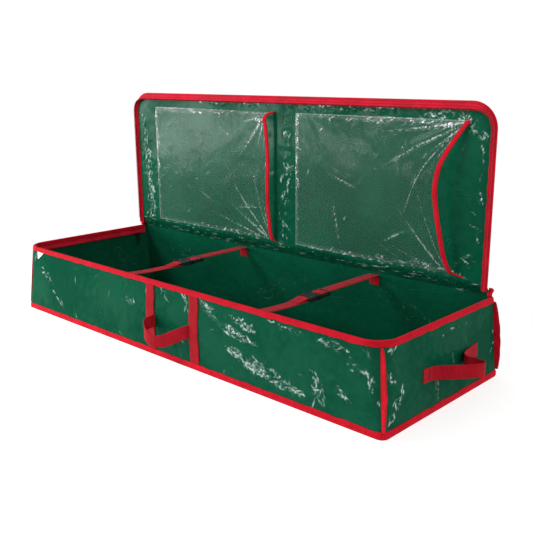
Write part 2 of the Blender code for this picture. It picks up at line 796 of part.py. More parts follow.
def skirt_frame(share):
    """Root, direction and length of the zip tape where it belongs to the top run by a share."""
    droop = TOP_DROOP * share
    direction = Vector((-math.cos(droop), math.sin(droop)))
    root = Vector((-(LID_HALF + FIT_GAP + TAPE_THICK + FIT_GAP + ZIP_TAPE_THICK / 2.0), ZIP_TAPE_THICK))
    return root, direction, blend_value(SIDE_SKIRT, TOP_SKIRT, share)


def skirt_section(share):
    """The zip tape stands out of the lid's sides and droops over its inner face along the top."""
    root, direction, length = skirt_frame(share)
    half = Vector((direction.y, -direction.x)) * ZIP_TAPE_THICK / 2.0
    tip = root + direction * length
    middle = root + direction * length / 2.0
    return [root + half, middle + half, tip + half, tip - half, middle - half, root - half]


def lid_coil_section(share):
    """The coil along the free edge of the lid's zip tape."""
    root, direction, length = skirt_frame(share)
    centre = root + direction * (length + FIT_GAP + ZIP_COIL_RADIUS)
    return hexagon(centre.x, centre.y, ZIP_COIL_RADIUS)


def build_fold(shop, hinge):
    """The rounded fold at the foot of the lid, with a tongue between its outer layers."""
    half_x = LENGTH / 2.0 - FOOT_RADIUS
    tongue = SHEET_THICK / 2.0
    top = FOLD_RADIUS + FOLD_TONGUE
    section = [(-tongue, top)]
    start = math.asin(tongue / FOLD_RADIUS)
    for step in range(FOLD_TURNS + 1):
        angle = blend_value(start, 2.0 * math.pi - start, step / FOLD_TURNS)
        section.append((-FOLD_RADIUS * math.sin(angle), FOLD_RADIUS * math.cos(angle)))
    section.append((tongue, top))
    rings = [[Vector((x, y, z)) for y, z in section] for x in (-half_x, half_x)]
    shop.add("lid_fold", loft("lid_fold", rings), PE_GREEN, parent=hinge)


def film_point(seam, mouth, gape, pull, along, up):
    """A point of a pocket's film, along it from its seam to its mouth and up it from its foot."""
    span = mouth - seam
    belly = 1.0 - abs(2.0 * up - 1.0) ** 3
    x = seam + span * along - pull * along * along * belly
    rest = FIT_GAP + FILM_THICK / 2.0
    opened = smooth_step((along - MOUTH_SHARE) / (1.0 - MOUTH_SHARE))
    mouth_room = (MOUTH_TAPE_THICK + 2.0 * FIT_GAP) * opened
    swell = gape * belly * math.sin(math.pi / 2.0 * along)
    depth = -(LID_HALF + rest + mouth_room + swell)
    return Vector((x, depth, blend_value(POCKET_FOOT, POCKET_TOP, up)))


def build_pocket(shop, hinge, place, seam, mouth, gape, pull):
    """A clear film sewn down on three sides, with a bound mouth that gapes."""
    name = place + "_pocket_film"
    bm = bmesh.new()
    grid = []
    for row in range(FILM_ROWS + 1):
        up = row / FILM_ROWS
        grid.append([bm.verts.new(film_point(seam, mouth, gape, pull, column / FILM_COLUMNS, up))
                     for column in range(FILM_COLUMNS + 1)])
    for low, high in zip(grid, grid[1:]):
        for index in range(FILM_COLUMNS):
            bm.faces.new((low[index], low[index + 1], high[index + 1], high[index]))
    mesh = bpy.data.meshes.new(name)
    bm.to_mesh(mesh)
    bm.free()
    mesh.shade_smooth()
    item = shop.add(name, mesh, FILM, parent=hinge)
    solidify(item, FILM_THICK)
    build_mouth(shop, hinge, place + "_pocket_mouth_binding", seam, mouth, gape, pull)


def build_mouth(shop, hinge, name, seam, mouth, gape, pull):
    """The tape folded over a pocket's free edge."""
    near = FILM_THICK / 2.0 + FIT_GAP
    far = near + MOUTH_TAPE_THICK
    crest = FIT_GAP + MOUTH_TAPE_THICK
    section = [(MOUTH_TAPE_WIDTH, near), (MOUTH_TAPE_WIDTH, far), (0.0, far), (-crest, near),
               (-crest, -near), (0.0, -far), (MOUTH_TAPE_WIDTH, -far), (MOUTH_TAPE_WIDTH, -near),
               (-FIT_GAP, -near), (-FIT_GAP, near)]
    step = 1.0 / FILM_COLUMNS
    rings = []
    for row in range(FILM_ROWS + 1):
        up = row / FILM_ROWS
        here = film_point(seam, mouth, gape, pull, 1.0, up)
        inner = film_point(seam, mouth, gape, pull, 1.0 - step, up)
        above = film_point(seam, mouth, gape, pull, 1.0, min(1.0, up + step))
        below = film_point(seam, mouth, gape, pull, 1.0, max(0.0, up - step))
        into = (inner - here).normalized()
        rise = (above - below).normalized()
        normal = into.cross(rise).normalized()
        rings.append([here + into * width + normal * lift for width, lift in section])
    shop.add(name, loft(name, rings), BINDING, parent=hinge)


def build_front_webbing(shop):
    """Two upright webbings on the front wall, which carry the handle's ends."""
    low = FOOT_TAPE_HEIGHT + FIT_GAP
    high = HEIGHT - RIM_LEG - FIT_GAP
    for place, x in (("left", LEFT_WEB_X), ("right", RIGHT_WEB_X)):
        rings = []
        for z in levels_between(low, high):
            edges = (x - WEB_WIDTH / 2.0, x + WEB_WIDTH / 2.0)
            near = [wall_at("front", edge, z, FIT_GAP) for edge in edges]
            far = [wall_at("front", edge, z, FIT_GAP + WEB_THICK) for edge in reversed(edges)]
            rings.append(near + far)
        name = "front_webbing_" + place
        shop.add(name, loft(name, rings), WEBBING)


def build_front_handle(shop):
    """A slack webbing loop between the two upright webbings."""
    start_x = LEFT_WEB_X + WEB_WIDTH / 2.0 + FIT_GAP + HANDLE_THICK / 2.0
    end_x = RIGHT_WEB_X - WEB_WIDTH / 2.0 - FIT_GAP - HANDLE_THICK / 2.0
    wall_y = min(wall_at("front", x, HANDLE_HEIGHT + lift, FIT_GAP).y
                 for x in (start_x, end_x) for lift in (-WEB_WIDTH / 2.0, 0.0, WEB_WIDTH / 2.0))
    points = [Vector((blend_value(start_x, end_x, along), wall_y - FRONT_LOOP_REACH * reach,
                      HANDLE_HEIGHT - FRONT_LOOP_DROP * drop)) for along, reach, drop in FRONT_LOOP_SHARES]
    path = spline(points, FRONT_LOOP_SAMPLES)
    mesh = ribbon("front_handle", path, Vector((0.0, 0.0, 1.0)), WEB_WIDTH, HANDLE_THICK)
    axis = ((start_x + end_x) / 2.0, wall_y, HANDLE_HEIGHT + WEB_WIDTH / 2.0)
    shop.add("front_handle", mesh, WEBBING, origin=axis)


def build_end_handle(shop, place, sign):
    """A webbing grip on an end wall, with a flat sewn tab at each end of its loop."""
    side = "right" if sign > 0.0 else "left"
    front = END_HANDLE_Y - END_HANDLE_SPAN / 2.0
    rear = END_HANDLE_Y + END_HANDLE_SPAN / 2.0
    levels = (HANDLE_HEIGHT - WEB_WIDTH / 2.0, HANDLE_HEIGHT, HANDLE_HEIGHT + WEB_WIDTH / 2.0)
    for part, start, end in (("front", front, front + END_FRONT_TAB), ("rear", rear - END_REAR_TAB, rear)):
        name = place + "_handle_" + part + "_tab"
        rings = []
        for z in levels:
            near = [wall_at(side, y, z, FIT_GAP) for y in (start, end)]
            far = [wall_at(side, y, z, FIT_GAP + HANDLE_THICK) for y in (end, start)]
            rings.append(near + far)
        shop.add(name, loft(name, rings), WEBBING)
    start_y = front + END_FRONT_TAB + FIT_GAP
    end_y = rear - END_REAR_TAB - FIT_GAP
    wall_x = max(sign * wall_at(side, y, z, FIT_GAP).x
                 for y in (start_y, END_HANDLE_Y, end_y) for z in levels)
    centre_x = wall_x + HANDLE_THICK / 2.0
    points = [Vector((sign * (centre_x + END_LOOP_REACH * reach), blend_value(start_y, end_y, along),
                      HANDLE_HEIGHT)) for along, reach in END_LOOP_SHARES]
    path = spline(points, END_LOOP_SAMPLES)
    name = place + "_handle"
    mesh = ribbon(name, path, Vector((0.0, 0.0, 1.0)), WEB_WIDTH, HANDLE_THICK)
    axis = (sign * wall_x, (start_y + end_y) / 2.0, HANDLE_HEIGHT + WEB_WIDTH / 2.0)
    shop.add(name, mesh, WEBBING, origin=axis)


def build_label(shop):
    """A small blank label that hangs out from under the rim binding."""
    top = HEIGHT - RIM_LEG - FIT_GAP
    rings = []
    steps = WALL_ROWS
    for step in range(steps + 1):
        run = step / steps
        z = top - LABEL_DROP * run
        width = LABEL_WIDTH * blend_value(1.0, LABEL_TIP_SHARE, run)
        edges = (LABEL_INSET - LENGTH / 2.0, LABEL_INSET - LENGTH / 2.0 + width)
        near = [wall_at("front", edge, z, FIT_GAP) for edge in edges]
        far = [wall_at("front", edge, z, FIT_GAP + LABEL_THICK) for edge in reversed(edges)]
        rings.append(near + far)
    shop.add("care_label", loft("care_label", rings), PAPER)


BUCKLE_Z = HEIGHT - BUCKLE_DROP
RUN_DROP = BAR_THICK / 2.0 + FIT_GAP + WEB_THICK / 2.0
DECK_RUN = PLUG_DECK + FIT_GAP + WEB_THICK / 2.0
BAR_EDGE = SOCKET_LENGTH - BAR_WIDTH
SLOT_HALF = WEB_WIDTH / 2.0 + 2.0 * FIT_GAP
SLOT_LENGTH = RUN_DROP + WEB_THICK / 2.0 + FIT_GAP


def build_strap_front(shop, name, x, mouth_y):
    """Webbing from the front rim to the socket, round its bar and back along itself."""
    start = wall_at("front", x, HEIGHT - STRAP_DROP, -(INNER_LEG + TAPE_THICK + FIT_GAP))
    bar_y = mouth_y - BAR_EDGE
    low = BUCKLE_Z - RUN_DROP
    high = BUCKLE_Z + RUN_DROP
    tail_y = mouth_y - SOCKET_LENGTH - STRAP_TAIL
    lay = low + WEB_THICK + 2.0 * FIT_GAP
    path = [start, start.lerp(Vector((x, tail_y, low)), 0.5) - Vector((0.0, 0.0, WEB_THICK))]
    path += [Vector((x, tail_y, low)), Vector((x, mouth_y - SOCKET_LENGTH, low)), Vector((x, bar_y, low))]
    for step in range(1, BAR_TURNS):
        angle = math.pi * step / BAR_TURNS
        path.append(Vector((x, bar_y + RUN_DROP * math.sin(angle), BUCKLE_Z - RUN_DROP * math.cos(angle))))
    path += [Vector((x, bar_y, high)), Vector((x, mouth_y - SOCKET_LENGTH, high))]
    path += [Vector((x, mouth_y - SOCKET_LENGTH - STRAP_TAIL / 3.0, lay + WEB_THICK)),
             Vector((x, mouth_y - SOCKET_LENGTH - STRAP_TAIL * 2.0 / 3.0, lay)), Vector((x, tail_y, lay))]
    shop.add(name, ribbon(name, path, Vector((1.0, 0.0, 0.0)), WEB_WIDTH, WEB_THICK), WEBBING)


def build_strap_back(shop, name, x, mouth_y):
    """Webbing from the buckle's mouth, level over the plug's deck, down to the back wall."""
    run_z = BUCKLE_Z + DECK_RUN
    wall = wall_at("back", x, run_z, -WALL_THICK - FIT_GAP - WEB_THICK / 2.0)
    drop = wall_at("back", x, run_z - STRAP_TAB, -WALL_THICK - FIT_GAP - WEB_THICK / 2.0)
    turn = 2.0 * WEB_THICK
    knee = turn * STRAP_KNEE_SHARE
    path = [Vector((x, mouth_y + 2.0 * WEB_THICK, run_z)), Vector((x, mouth_y + PLUG_LENGTH, run_z)),
            Vector((x, wall.y - turn, run_z)), Vector((x, wall.y - knee, run_z - knee)),
            Vector((x, wall.y, run_z - turn)), drop]
    shop.add(name, ribbon(name, path, Vector((1.0, 0.0, 0.0)), WEB_WIDTH, WEB_THICK), WEBBING)


def build_socket(shop, name, x, mouth_y):
    """The buckle's socket: a flat sleeve with side windows and a webbing bar."""
    half = BUCKLE_WIDTH / 2.0
    waist = half - SOCKET_WALL
    length = SOCKET_LENGTH
    outline = [(-half, 0.0), (half, 0.0), (half, -CAVITY_DEPTH), (waist, -length + BAR_WIDTH),
               (waist - SOCKET_WALL, -length), (-waist + SOCKET_WALL, -length),
               (-waist, -length + BAR_WIDTH), (-half, -CAVITY_DEPTH)]
    mesh = plate(name, outline, -SOCKET_THICK / 2.0, SOCKET_THICK / 2.0)
    socket = shop.add(name, mesh, PLASTIC)
    socket.location = (x, mouth_y, BUCKLE_Z)
    bevel(socket, SOCKET_EDGE)
    over = SOCKET_THICK
    window_low, window_high = (-CAVITY_DEPTH * share for share in SOCKET_WINDOW_SHARES)
    inside = half - SOCKET_WALL
    deep = CAVITY_THICK / 2.0
    boxes = {
        "cavity": ((-inside, -CAVITY_DEPTH, -deep), (inside, over, deep)),
        "windows": ((-half - over, window_low, -deep), (half + over, window_high, deep)),
        "slot": ((-SLOT_HALF, -BAR_EDGE, -over), (SLOT_HALF, -BAR_EDGE + SLOT_LENGTH, over)),
        "bar_top": ((-SLOT_HALF, -length - over, BAR_THICK / 2.0), (SLOT_HALF, -BAR_EDGE + FIT_GAP, over)),
        "bar_under": ((-SLOT_HALF, -length - over, -over),
                      (SLOT_HALF, -BAR_EDGE + FIT_GAP, -BAR_THICK / 2.0)),
    }
    for label, (low, high) in boxes.items():
        combine(socket, shop.cutter(name + "_" + label, low, high, socket), "DIFFERENCE")


def build_plug(shop, name, x, mouth_y):
    """The buckle's plug: a frame that runs on the webbing, with a guide and two barbed prongs."""
    half = BUCKLE_WIDTH / 2.0
    deck = PLUG_DECK
    keeper_low = deck + FIT_GAP + WEB_THICK + FIT_GAP
    top = keeper_low + KEEPER_THICK
    length = PLUG_LENGTH
    taper = SOCKET_WALL * 2.0
    outline = [(-half, FIT_GAP), (half, FIT_GAP), (half, length - taper), (half - taper, length),
               (-half + taper, length), (-half, length - taper)]
    plug = shop.add(name, plate(name, outline, -PLUG_FLOOR, deck), PLASTIC)
    plug.location = (x, mouth_y, BUCKLE_Z)
    over = length
    near = length * WINDOW_SHARES[0]
    windows = {
        "front_window": ((-SLOT_HALF, near, -over), (SLOT_HALF, length * WINDOW_SHARES[1], over)),
        "rear_window": ((-SLOT_HALF, length * WINDOW_SHARES[2], -over), (SLOT_HALF, over + length, over)),
    }
    for label, (low, high) in windows.items():
        combine(plug, shop.cutter(name + "_" + label, low, high, plug), "DIFFERENCE")
    edge = half - FIT_GAP
    start = length * WINDOW_SHARES[2] - taper
    posts = {
        "left_post": ((-edge, start, -FIT_GAP),
                      (-SLOT_HALF - FIT_GAP, length - taper, keeper_low + FIT_GAP)),
        "right_post": ((SLOT_HALF + FIT_GAP, start, -FIT_GAP),
                       (edge, length - taper, keeper_low + FIT_GAP)),
        "keeper": ((-edge + FIT_GAP, length - 2.0 * taper, keeper_low),
                   (edge - FIT_GAP, length - taper - FIT_GAP, top)),
    }
    for label, (low, high) in posts.items():
        combine(plug, shop.cutter(name + "_" + label, low, high, plug), "UNION")
    for sign, label in ((-1.0, "left_prong"), (1.0, "right_prong")):
        combine(plug, prong(shop, name + "_" + label, sign, plug), "UNION")
    rib = SOCKET_WALL
    tip = -PRONG_LENGTH * GUIDE_SHARE
    guide = shop.cutter(name + "_guide", (-rib, tip, -rib), (rib, near / 2.0, rib), plug)
    combine(plug, guide, "UNION")


def prong(shop, name, sign, parent):
    """A springy arm with a barb at its tip, joined to the plug's deck."""
    inside = BUCKLE_WIDTH / 2.0 - SOCKET_WALL - 2.0 * FIT_GAP
    length = PRONG_LENGTH
    outline = [(sign * inside * wide, -length * along) for wide, along in PRONG_SHARES]
    item = bpy.data.objects.new(name, plate(name, outline, -PRONG_THICK / 2.0, PRONG_THICK / 2.0))
    item.hide_render = True
    item.display_type = "WIRE"
    item.parent = parent
    shop.cutters.objects.link(item)
    return item


def main():
    """Build every piece of the organizer."""
    clear_scene()
    shop = Shop()
    build_floor(shop)
    build_walls(shop)
    build_bindings(shop)
    build_base_zip(shop)
    build_fabric_hinge(shop)
    hinge = bpy.data.objects.new("lid_hinge", None)
    hinge.location = (0.0, HINGE_Y, HINGE_HEIGHT)
    hinge.rotation_euler = Euler((LID_LEAN, 0.0, 0.0))
    shop.parts.objects.link(hinge)
    build_lid(shop, hinge)
    seam = LEFT_SEAM_INSET - LENGTH / 2.0
    build_pocket(shop, hinge, "left", seam, seam + LEFT_POCKET_LENGTH, LEFT_POCKET_GAPE, LEFT_MOUTH_PULL)
    mouth = LENGTH / 2.0 - RIGHT_MOUTH_INSET
    build_pocket(shop, hinge, "right", mouth - RIGHT_POCKET_LENGTH, mouth,
                 RIGHT_POCKET_GAPE, RIGHT_MOUTH_PULL)
    build_front_webbing(shop)
    build_front_handle(shop)
    build_end_handle(shop, "right", 1.0)
    build_end_handle(shop, "left", -1.0)
    build_label(shop)
    straps = (("left", LEFT_STRAP_INSET - LENGTH / 2.0, LEFT_BUCKLE_Y),
              ("right", LENGTH / 2.0 - RIGHT_STRAP_INSET, RIGHT_BUCKLE_Y))
    for place, x, mouth_y in straps:
        build_strap_front(shop, place + "_strap_front", x, mouth_y)
        build_strap_back(shop, place + "_strap_back", x, mouth_y)
        build_socket(shop, place + "_buckle_socket", x, mouth_y)
        build_plug(shop, place + "_buckle_plug", x, mouth_y)


main()
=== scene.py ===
"""Gift wrap organizer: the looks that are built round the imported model.

Lengths are metres in the model's own frame: X runs along the box, Y from its front to its back
wall, and Z up from its underside. The lid stands open on the fold along the back wall.
"""
import logging
from dataclasses import dataclass, field
from enum import Enum
from math import cos, pi, radians, sin, tan, tau
from typing import Any, Callable, Optional, Sequence

import bpy
import numpy as np
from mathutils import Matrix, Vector


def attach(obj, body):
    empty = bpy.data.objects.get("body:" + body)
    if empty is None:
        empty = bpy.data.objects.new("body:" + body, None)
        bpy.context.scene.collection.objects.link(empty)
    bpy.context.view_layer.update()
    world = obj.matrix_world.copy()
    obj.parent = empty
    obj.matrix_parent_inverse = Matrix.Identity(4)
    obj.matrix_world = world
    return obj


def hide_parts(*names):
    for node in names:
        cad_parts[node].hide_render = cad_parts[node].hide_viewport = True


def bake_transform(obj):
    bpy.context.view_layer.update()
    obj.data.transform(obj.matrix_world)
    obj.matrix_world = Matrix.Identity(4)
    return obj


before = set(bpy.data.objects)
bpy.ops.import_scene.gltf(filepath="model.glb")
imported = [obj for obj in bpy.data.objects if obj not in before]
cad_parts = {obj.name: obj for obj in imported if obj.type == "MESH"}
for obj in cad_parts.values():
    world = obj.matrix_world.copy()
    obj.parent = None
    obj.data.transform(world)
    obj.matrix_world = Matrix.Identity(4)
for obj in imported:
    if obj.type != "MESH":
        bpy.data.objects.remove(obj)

LOG = logging.getLogger("gift_wrap_organizer")
Array = np.ndarray
Piece = bpy.types.Object
Node = bpy.types.Node
Socket = bpy.types.NodeSocket
Tree = bpy.types.NodeTree
Pair = tuple[float, float]
Triple = tuple[float, float, float]
Colour = tuple[float, float, float, float]
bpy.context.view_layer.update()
CRISP = radians(50.0)
MADE: dict[str, Any] = {}
FOLD_LINE = "fold"
UP = np.array([0.0, 0.0, 1.0])
ALONG = np.array([1.0, 0.0, 0.0])


class Side(Enum):
    """The four walls, each as (direction along it in plan, its outward direction in plan)."""

    FRONT = ((1, 0), (0, -1))
    RIGHT = ((0.0, 1.0), (1.0, 0.0))
    BACK = ((-1.0, 0.0), (0.0, 1.0))
    LEFT = ((0, -1), (-1, 0))


class Hand(Enum):
    """The left and right end of the organizer, with the sign of X there."""

    LEFT = -1.0
    RIGHT = 1.0

    @property
    def word(self) -> str:
        """The end's name, as pieces carry it."""
        return self.name.lower()

    @property
    def side(self) -> Side:
        """The end's wall."""
        return Side[self.name]


OPEN_SIDES = (Side.LEFT, Side.FRONT, Side.RIGHT)


# Arithmetic on whole arrays

def lerp(first: Any, second: Any, share: Any) -> Any:
    """The value at a share of the way from the first to the second."""
    return first + (second - first) * share


def smooth(share: Any) -> Array:
    """A share held between 0 and 1, with level ends."""
    held = np.clip(share, 0, 1)
    return held * held * (3 - 2 * held)


def window(value: Array, low: float, high: float, fade: float) -> Array:
    """One between two limits and nothing outside them, with a fade inside each limit."""
    return smooth((value - low) / fade) * smooth((high - value) / fade)


def unit(vectors: Array) -> Array:
    """Vectors made one long."""
    return vectors / np.maximum(np.linalg.norm(vectors, axis=-1, keepdims=True), 1e-12)


def stacked(*values: Any) -> Array:
    """Numbers and arrays brought to one shape and set side by side, as the coordinates of points."""
    return np.stack(np.broadcast_arrays(*values), -1)


def framed(path: Array, first: Array, second: Array, section: Array) -> Array:
    """Rings at path + first times the section's first value + second times its second."""
    return path[:, None] + first[:, None] * section[..., :1] + second[:, None] * section[..., 1:]


def sway(place: Array, seed: int, wave: float) -> Array:
    """A smooth random line of about -1 to 1: five sine waves of unlike lengths, added up.

    Args:
        place: Distances along the line.
        seed: Which line of the many.
        wave: The wavelength about which the five lie.

    Returns:
        The line's values.
    """
    rng = np.random.default_rng(seed)
    total = np.zeros_like(np.asarray(place, float))
    for rate, phase in zip(rng.uniform(0.55, 1.9, 5), rng.uniform(0, tau, 5)):
        total = total + np.sin(tau * rate * place / wave + phase)
    return total / 2.6


def curve_through(points: Sequence[Sequence[float]], count: int) -> Array:
    """Evenly spaced points on a Catmull-Rom spline through the given ones.

    Args:
        points: The points that the curve runs through.
        count: How many points to give back.

    Returns:
        An array of count points.
    """
    knots = np.asarray(points, float)
    padded = np.vstack([knots[:1], knots, knots[-1:]])
    place = np.linspace(0, len(knots) - 1, 40 * len(knots))
    index = np.minimum(place.astype(int), len(knots) - 2)
    share = (place - index)[:, None]
    before, start, end, after = (padded[index + step] for step in range(4))
    lean_out, lean_in = (end - before) / 2, (after - start) / 2
    square, cube = share ** 2, share ** 3
    fine = (start * (2 * cube - 3 * square + 1) + lean_out * (cube - 2 * square + share)
            + end * (3 * square - 2 * cube) + lean_in * (cube - square))
    run = run_length(fine)
    return reread(fine, run, np.linspace(0, run[-1], count))


def reread(points: Array, run: Array, places: Array) -> Array:
    """A line's points at other distances along it, found between its own."""
    return np.stack([np.interp(places, run, values) for values in points.T], -1)


def run_length(points: Array) -> Array:
    """Distance along a line of points, from its first point to each."""
    steps = np.linalg.norm(np.diff(points, axis=0), axis=-1)
    return np.concatenate([[0.0], np.cumsum(steps)])


@dataclass(frozen=True)
class Fold:
    """One straight fold pressed into a flat cloth.

    It is a roof with a slightly rounded ridge that fades out at both ends, slowly where the fold is
    fanned out of a point. Its glint is a painted highlight: a bright line and a faint shine on one flank.
    """

    ROUNDING = 0.06
    LINE_PLACE = 0.3
    LINE_HALF = 0.0013
    FLANK_SHINE = 0.42

    centre: Pair
    angle: float
    length: float
    width: float
    rise: float
    glint: float = 0.0
    fanned: bool = False

    def press(self, field: Array, shine: Array, x: Array, y: Array) -> None:
        """Add the fold to a field of heights, and its glint to another.

        Args:
            field: Heights, one row for each y and one column for each x.
            shine: Glints, laid out in the same way.
            x: Rising distances along the cloth.
            y: Rising distances up the cloth.
        """
        lean = np.array([cos(self.angle), sin(self.angle)])
        middle = np.array(self.centre) + (lean * self.length / 2 if self.fanned else 0)
        reach = np.abs(lean) * self.length / 2 + self.width
        column = slice(*np.searchsorted(x, (middle[0] - reach[0], middle[0] + reach[0])))
        row = slice(*np.searchsorted(y, (middle[1] - reach[1], middle[1] + reach[1])))
        if column.start >= column.stop or row.start >= row.stop:
            return
        over, up = np.meshgrid(x[column] - middle[0], y[row] - middle[1])
        along = (over * lean[0] + up * lean[1]) / (self.length / 2)
        across = (up * lean[0] - over * lean[1]) / self.width
        ridge = np.clip(1 + self.ROUNDING - np.sqrt(across ** 2 + self.ROUNDING ** 2), 0, None)
        if self.fanned:
            share = np.clip((along + 1) / 2, 0, 1)
            fade = np.sin(pi * share ** 0.55)
        else:
            fade = np.clip(1 - along ** 2, 0, None) ** 1.5
        field[row, column] += self.rise * ridge * fade
        line = np.clip(1.4 - np.abs(across - self.LINE_PLACE) * self.width / self.LINE_HALF, 0, 1)
        flank = self.FLANK_SHINE * np.clip(1 - np.abs(across - 0.5) / 0.6, 0, 1)
        bright = self.glint * np.maximum(line, flank) * fade
        shine[row, column] = np.maximum(shine[row, column], bright)


class Layer:
    """Some of a crumpled cloth's folds."""

    def folds(self, x: Array, y: Array) -> list[Fold]:
        """The folds that fall on a cloth.

        Args:
            x: Distances along the cloth.
            y: Distances up it.

        Returns:
            The folds.
        """
        raise NotImplementedError


@dataclass(frozen=True)
class Scatter(Layer):
    """A scatter of random folds: so many to the square metre, of a range of lengths and widths."""

    seed: int
    density: float
    length: Pair
    width: Pair
    rise: float
    angles: Pair = (0.0, pi)
    glinting: float = 0.12

    def folds(self, x: Array, y: Array) -> list[Fold]:
        """The folds that fall on a cloth of this extent."""
        rng = np.random.default_rng(self.seed)
        count = int(self.density * (x[-1] - x[0]) * (y[-1] - y[0]))
        made = []
        for _ in range(count):
            centre = (rng.uniform(x[0], x[-1]), rng.uniform(y[0], y[-1]))
            share = rng.uniform(0.0, 1.0) ** 1.6
            rise = self.rise * rng.uniform(0.35, 1.0) * rng.choice((-1, 1))
            glint = rng.uniform(0.2, 0.7) * (rng.uniform() < self.glinting)
            made.append(Fold(centre, rng.uniform(*self.angles), lerp(*self.length, share),
                             lerp(*self.width, share), rise, glint))
        return made


@dataclass(frozen=True)
class Fan(Layer):
    """Folds that spread out of one point, as where a tape pulls at a cloth."""

    seed: int
    centre: Pair
    angles: Pair
    count: int
    length: Pair
    width: Pair
    rise: float

    def folds(self, x: Array, y: Array) -> list[Fold]:
        """The fan's folds, whatever the cloth's extent."""
        rng = np.random.default_rng(self.seed)
        made = []
        for share in np.linspace(0, 1, self.count):
            angle = lerp(*self.angles, share) + rng.normal(0, 0.06)
            made.append(Fold(self.centre, angle, rng.uniform(*self.length), rng.uniform(*self.width),
                             self.rise * rng.uniform(0.4, 1.0), rng.uniform(0.2, 1.0), True))
        return made


@dataclass(frozen=True)
class Patch(Layer):
    """A patch of close crinkles that mostly run one way, inside a soft ellipse."""

    centre: Pair
    reach: Pair
    degrees: float
    density: float
    rise: float = 0.0012

    def folds(self, x: Array, y: Array) -> list[Fold]:
        """The patch's folds, whatever the cloth's extent."""
        rng = np.random.default_rng(int(1000 * sum(self.centre) + 97 * self.reach[0]) % 9973 + 1)
        angle = radians(self.degrees)
        turn = np.array([[cos(angle), -sin(angle)], [sin(angle), cos(angle)]])
        made = []
        for _ in range(int(self.density * 4 * self.reach[0] * self.reach[1])):
            offset = rng.uniform(0.0, 1.0) ** 0.6 * unit(rng.normal(size=2))
            centre = np.array(self.centre) + turn @ (offset * self.reach)
            rise = self.rise * rng.uniform(0.4, 1.0) * rng.choice((-1, 1))
            glint = lerp(0.15, 1, rng.uniform() ** 1.4) * (rng.uniform() < 0.7)
            made.append(Fold(tuple(centre), angle + rng.normal(0, 0.42), rng.uniform(0.007, 0.03),
                             rng.uniform(0.003, 0.006), rise, glint))
        return made

def patches(*rows: Sequence[float]) -> tuple[Patch, ...]:
    """Patches from rows of numbers.

    Args:
        *rows: Centre, reach and slant, then density and rise where they differ from the usual, in
            millimetres, degrees and thousands to the square metre.

    Returns:
        The patches.
    """
    def patch(x: float, y: float, long: float, wide: float, slant: float, density: float = 21,
              rise: float = 1.2) -> Patch:
        """The patch of one row."""
        return Patch((x / 1000, y / 1000), (long / 1000, wide / 1000), slant, density * 1000, rise / 1000)
    return tuple(patch(*row) for row in rows)


def crumple(x: Array, y: Array, layers: Sequence[Layer], limit: float) -> tuple[Array, Array]:
    """A crumpled cloth: every layer's folds added up, then softly held within a limit.

    Args:
        x: Rising distances along the cloth.
        y: Rising distances up it.
        layers: Scatters, fans and patches of folds.
        limit: The most that the cloth may rise or sink.

    Returns:
        Heights and glints, one row for each y.
    """
    field, shine = np.zeros((len(y), len(x))), np.zeros((len(y), len(x)))
    for layer in layers:
        for fold in layer.folds(x, y):
            fold.press(field, shine, x, y)
    return limit * np.tanh(field / limit), shine


# Meshes out of arrays

def link(name: str, data: Any) -> Piece:
    """A new object in the scene."""
    item = bpy.data.objects.new(name, data)
    bpy.context.scene.collection.objects.link(item)
    return item


def mesh_object(name: str, points: Array, groups: Sequence[tuple[Array, Array]]) -> Piece:
    """A smooth-shaded object from points and groups of like faces, turned to face outwards.

    Args:
        name: The piece's name.
        points: One row for each vertex.
        groups: Pairs of vertex numbers, faces by corners, and their UV places, by 2 more.

    Returns:
        The linked object.
    """
    volume = 0.0
    for faces, _ in groups:
        first = points[faces[:, 0]]
        for corner in range(1, faces.shape[1] - 1):
            turned = np.cross(points[faces[:, corner]], points[faces[:, corner + 1]])
            volume += float(np.einsum("ij,ij->", first, turned))
    if volume < 0.0:
        groups = [(faces[:, ::-1], places[:, ::-1]) for faces, places in groups]
    mesh = bpy.data.meshes.new(name)
    mesh.vertices.add(len(points))
    mesh.vertices.foreach_set("co", points.astype(np.float32).ravel())
    corners = np.concatenate([faces.ravel() for faces, _ in groups])
    mesh.loops.add(len(corners))
    mesh.loops.foreach_set("vertex_index", corners.astype(np.int32))
    sizes = np.concatenate([np.full(len(faces), faces.shape[1]) for faces, _ in groups])
    mesh.polygons.add(len(sizes))
    mesh.polygons.foreach_set("loop_start", (np.cumsum(sizes) - sizes).astype(np.int32))
    layer = mesh.uv_layers.new(name="UVMap")
    mesh.update(calc_edges=True)
    places = np.concatenate([places.reshape(-1, 2) for _, places in groups])
    layer.data.foreach_set("uv", places.astype(np.float32).ravel())
    mesh.shade_smooth()
    mesh.set_sharp_from_angle(angle=CRISP)
    return link(name, mesh)


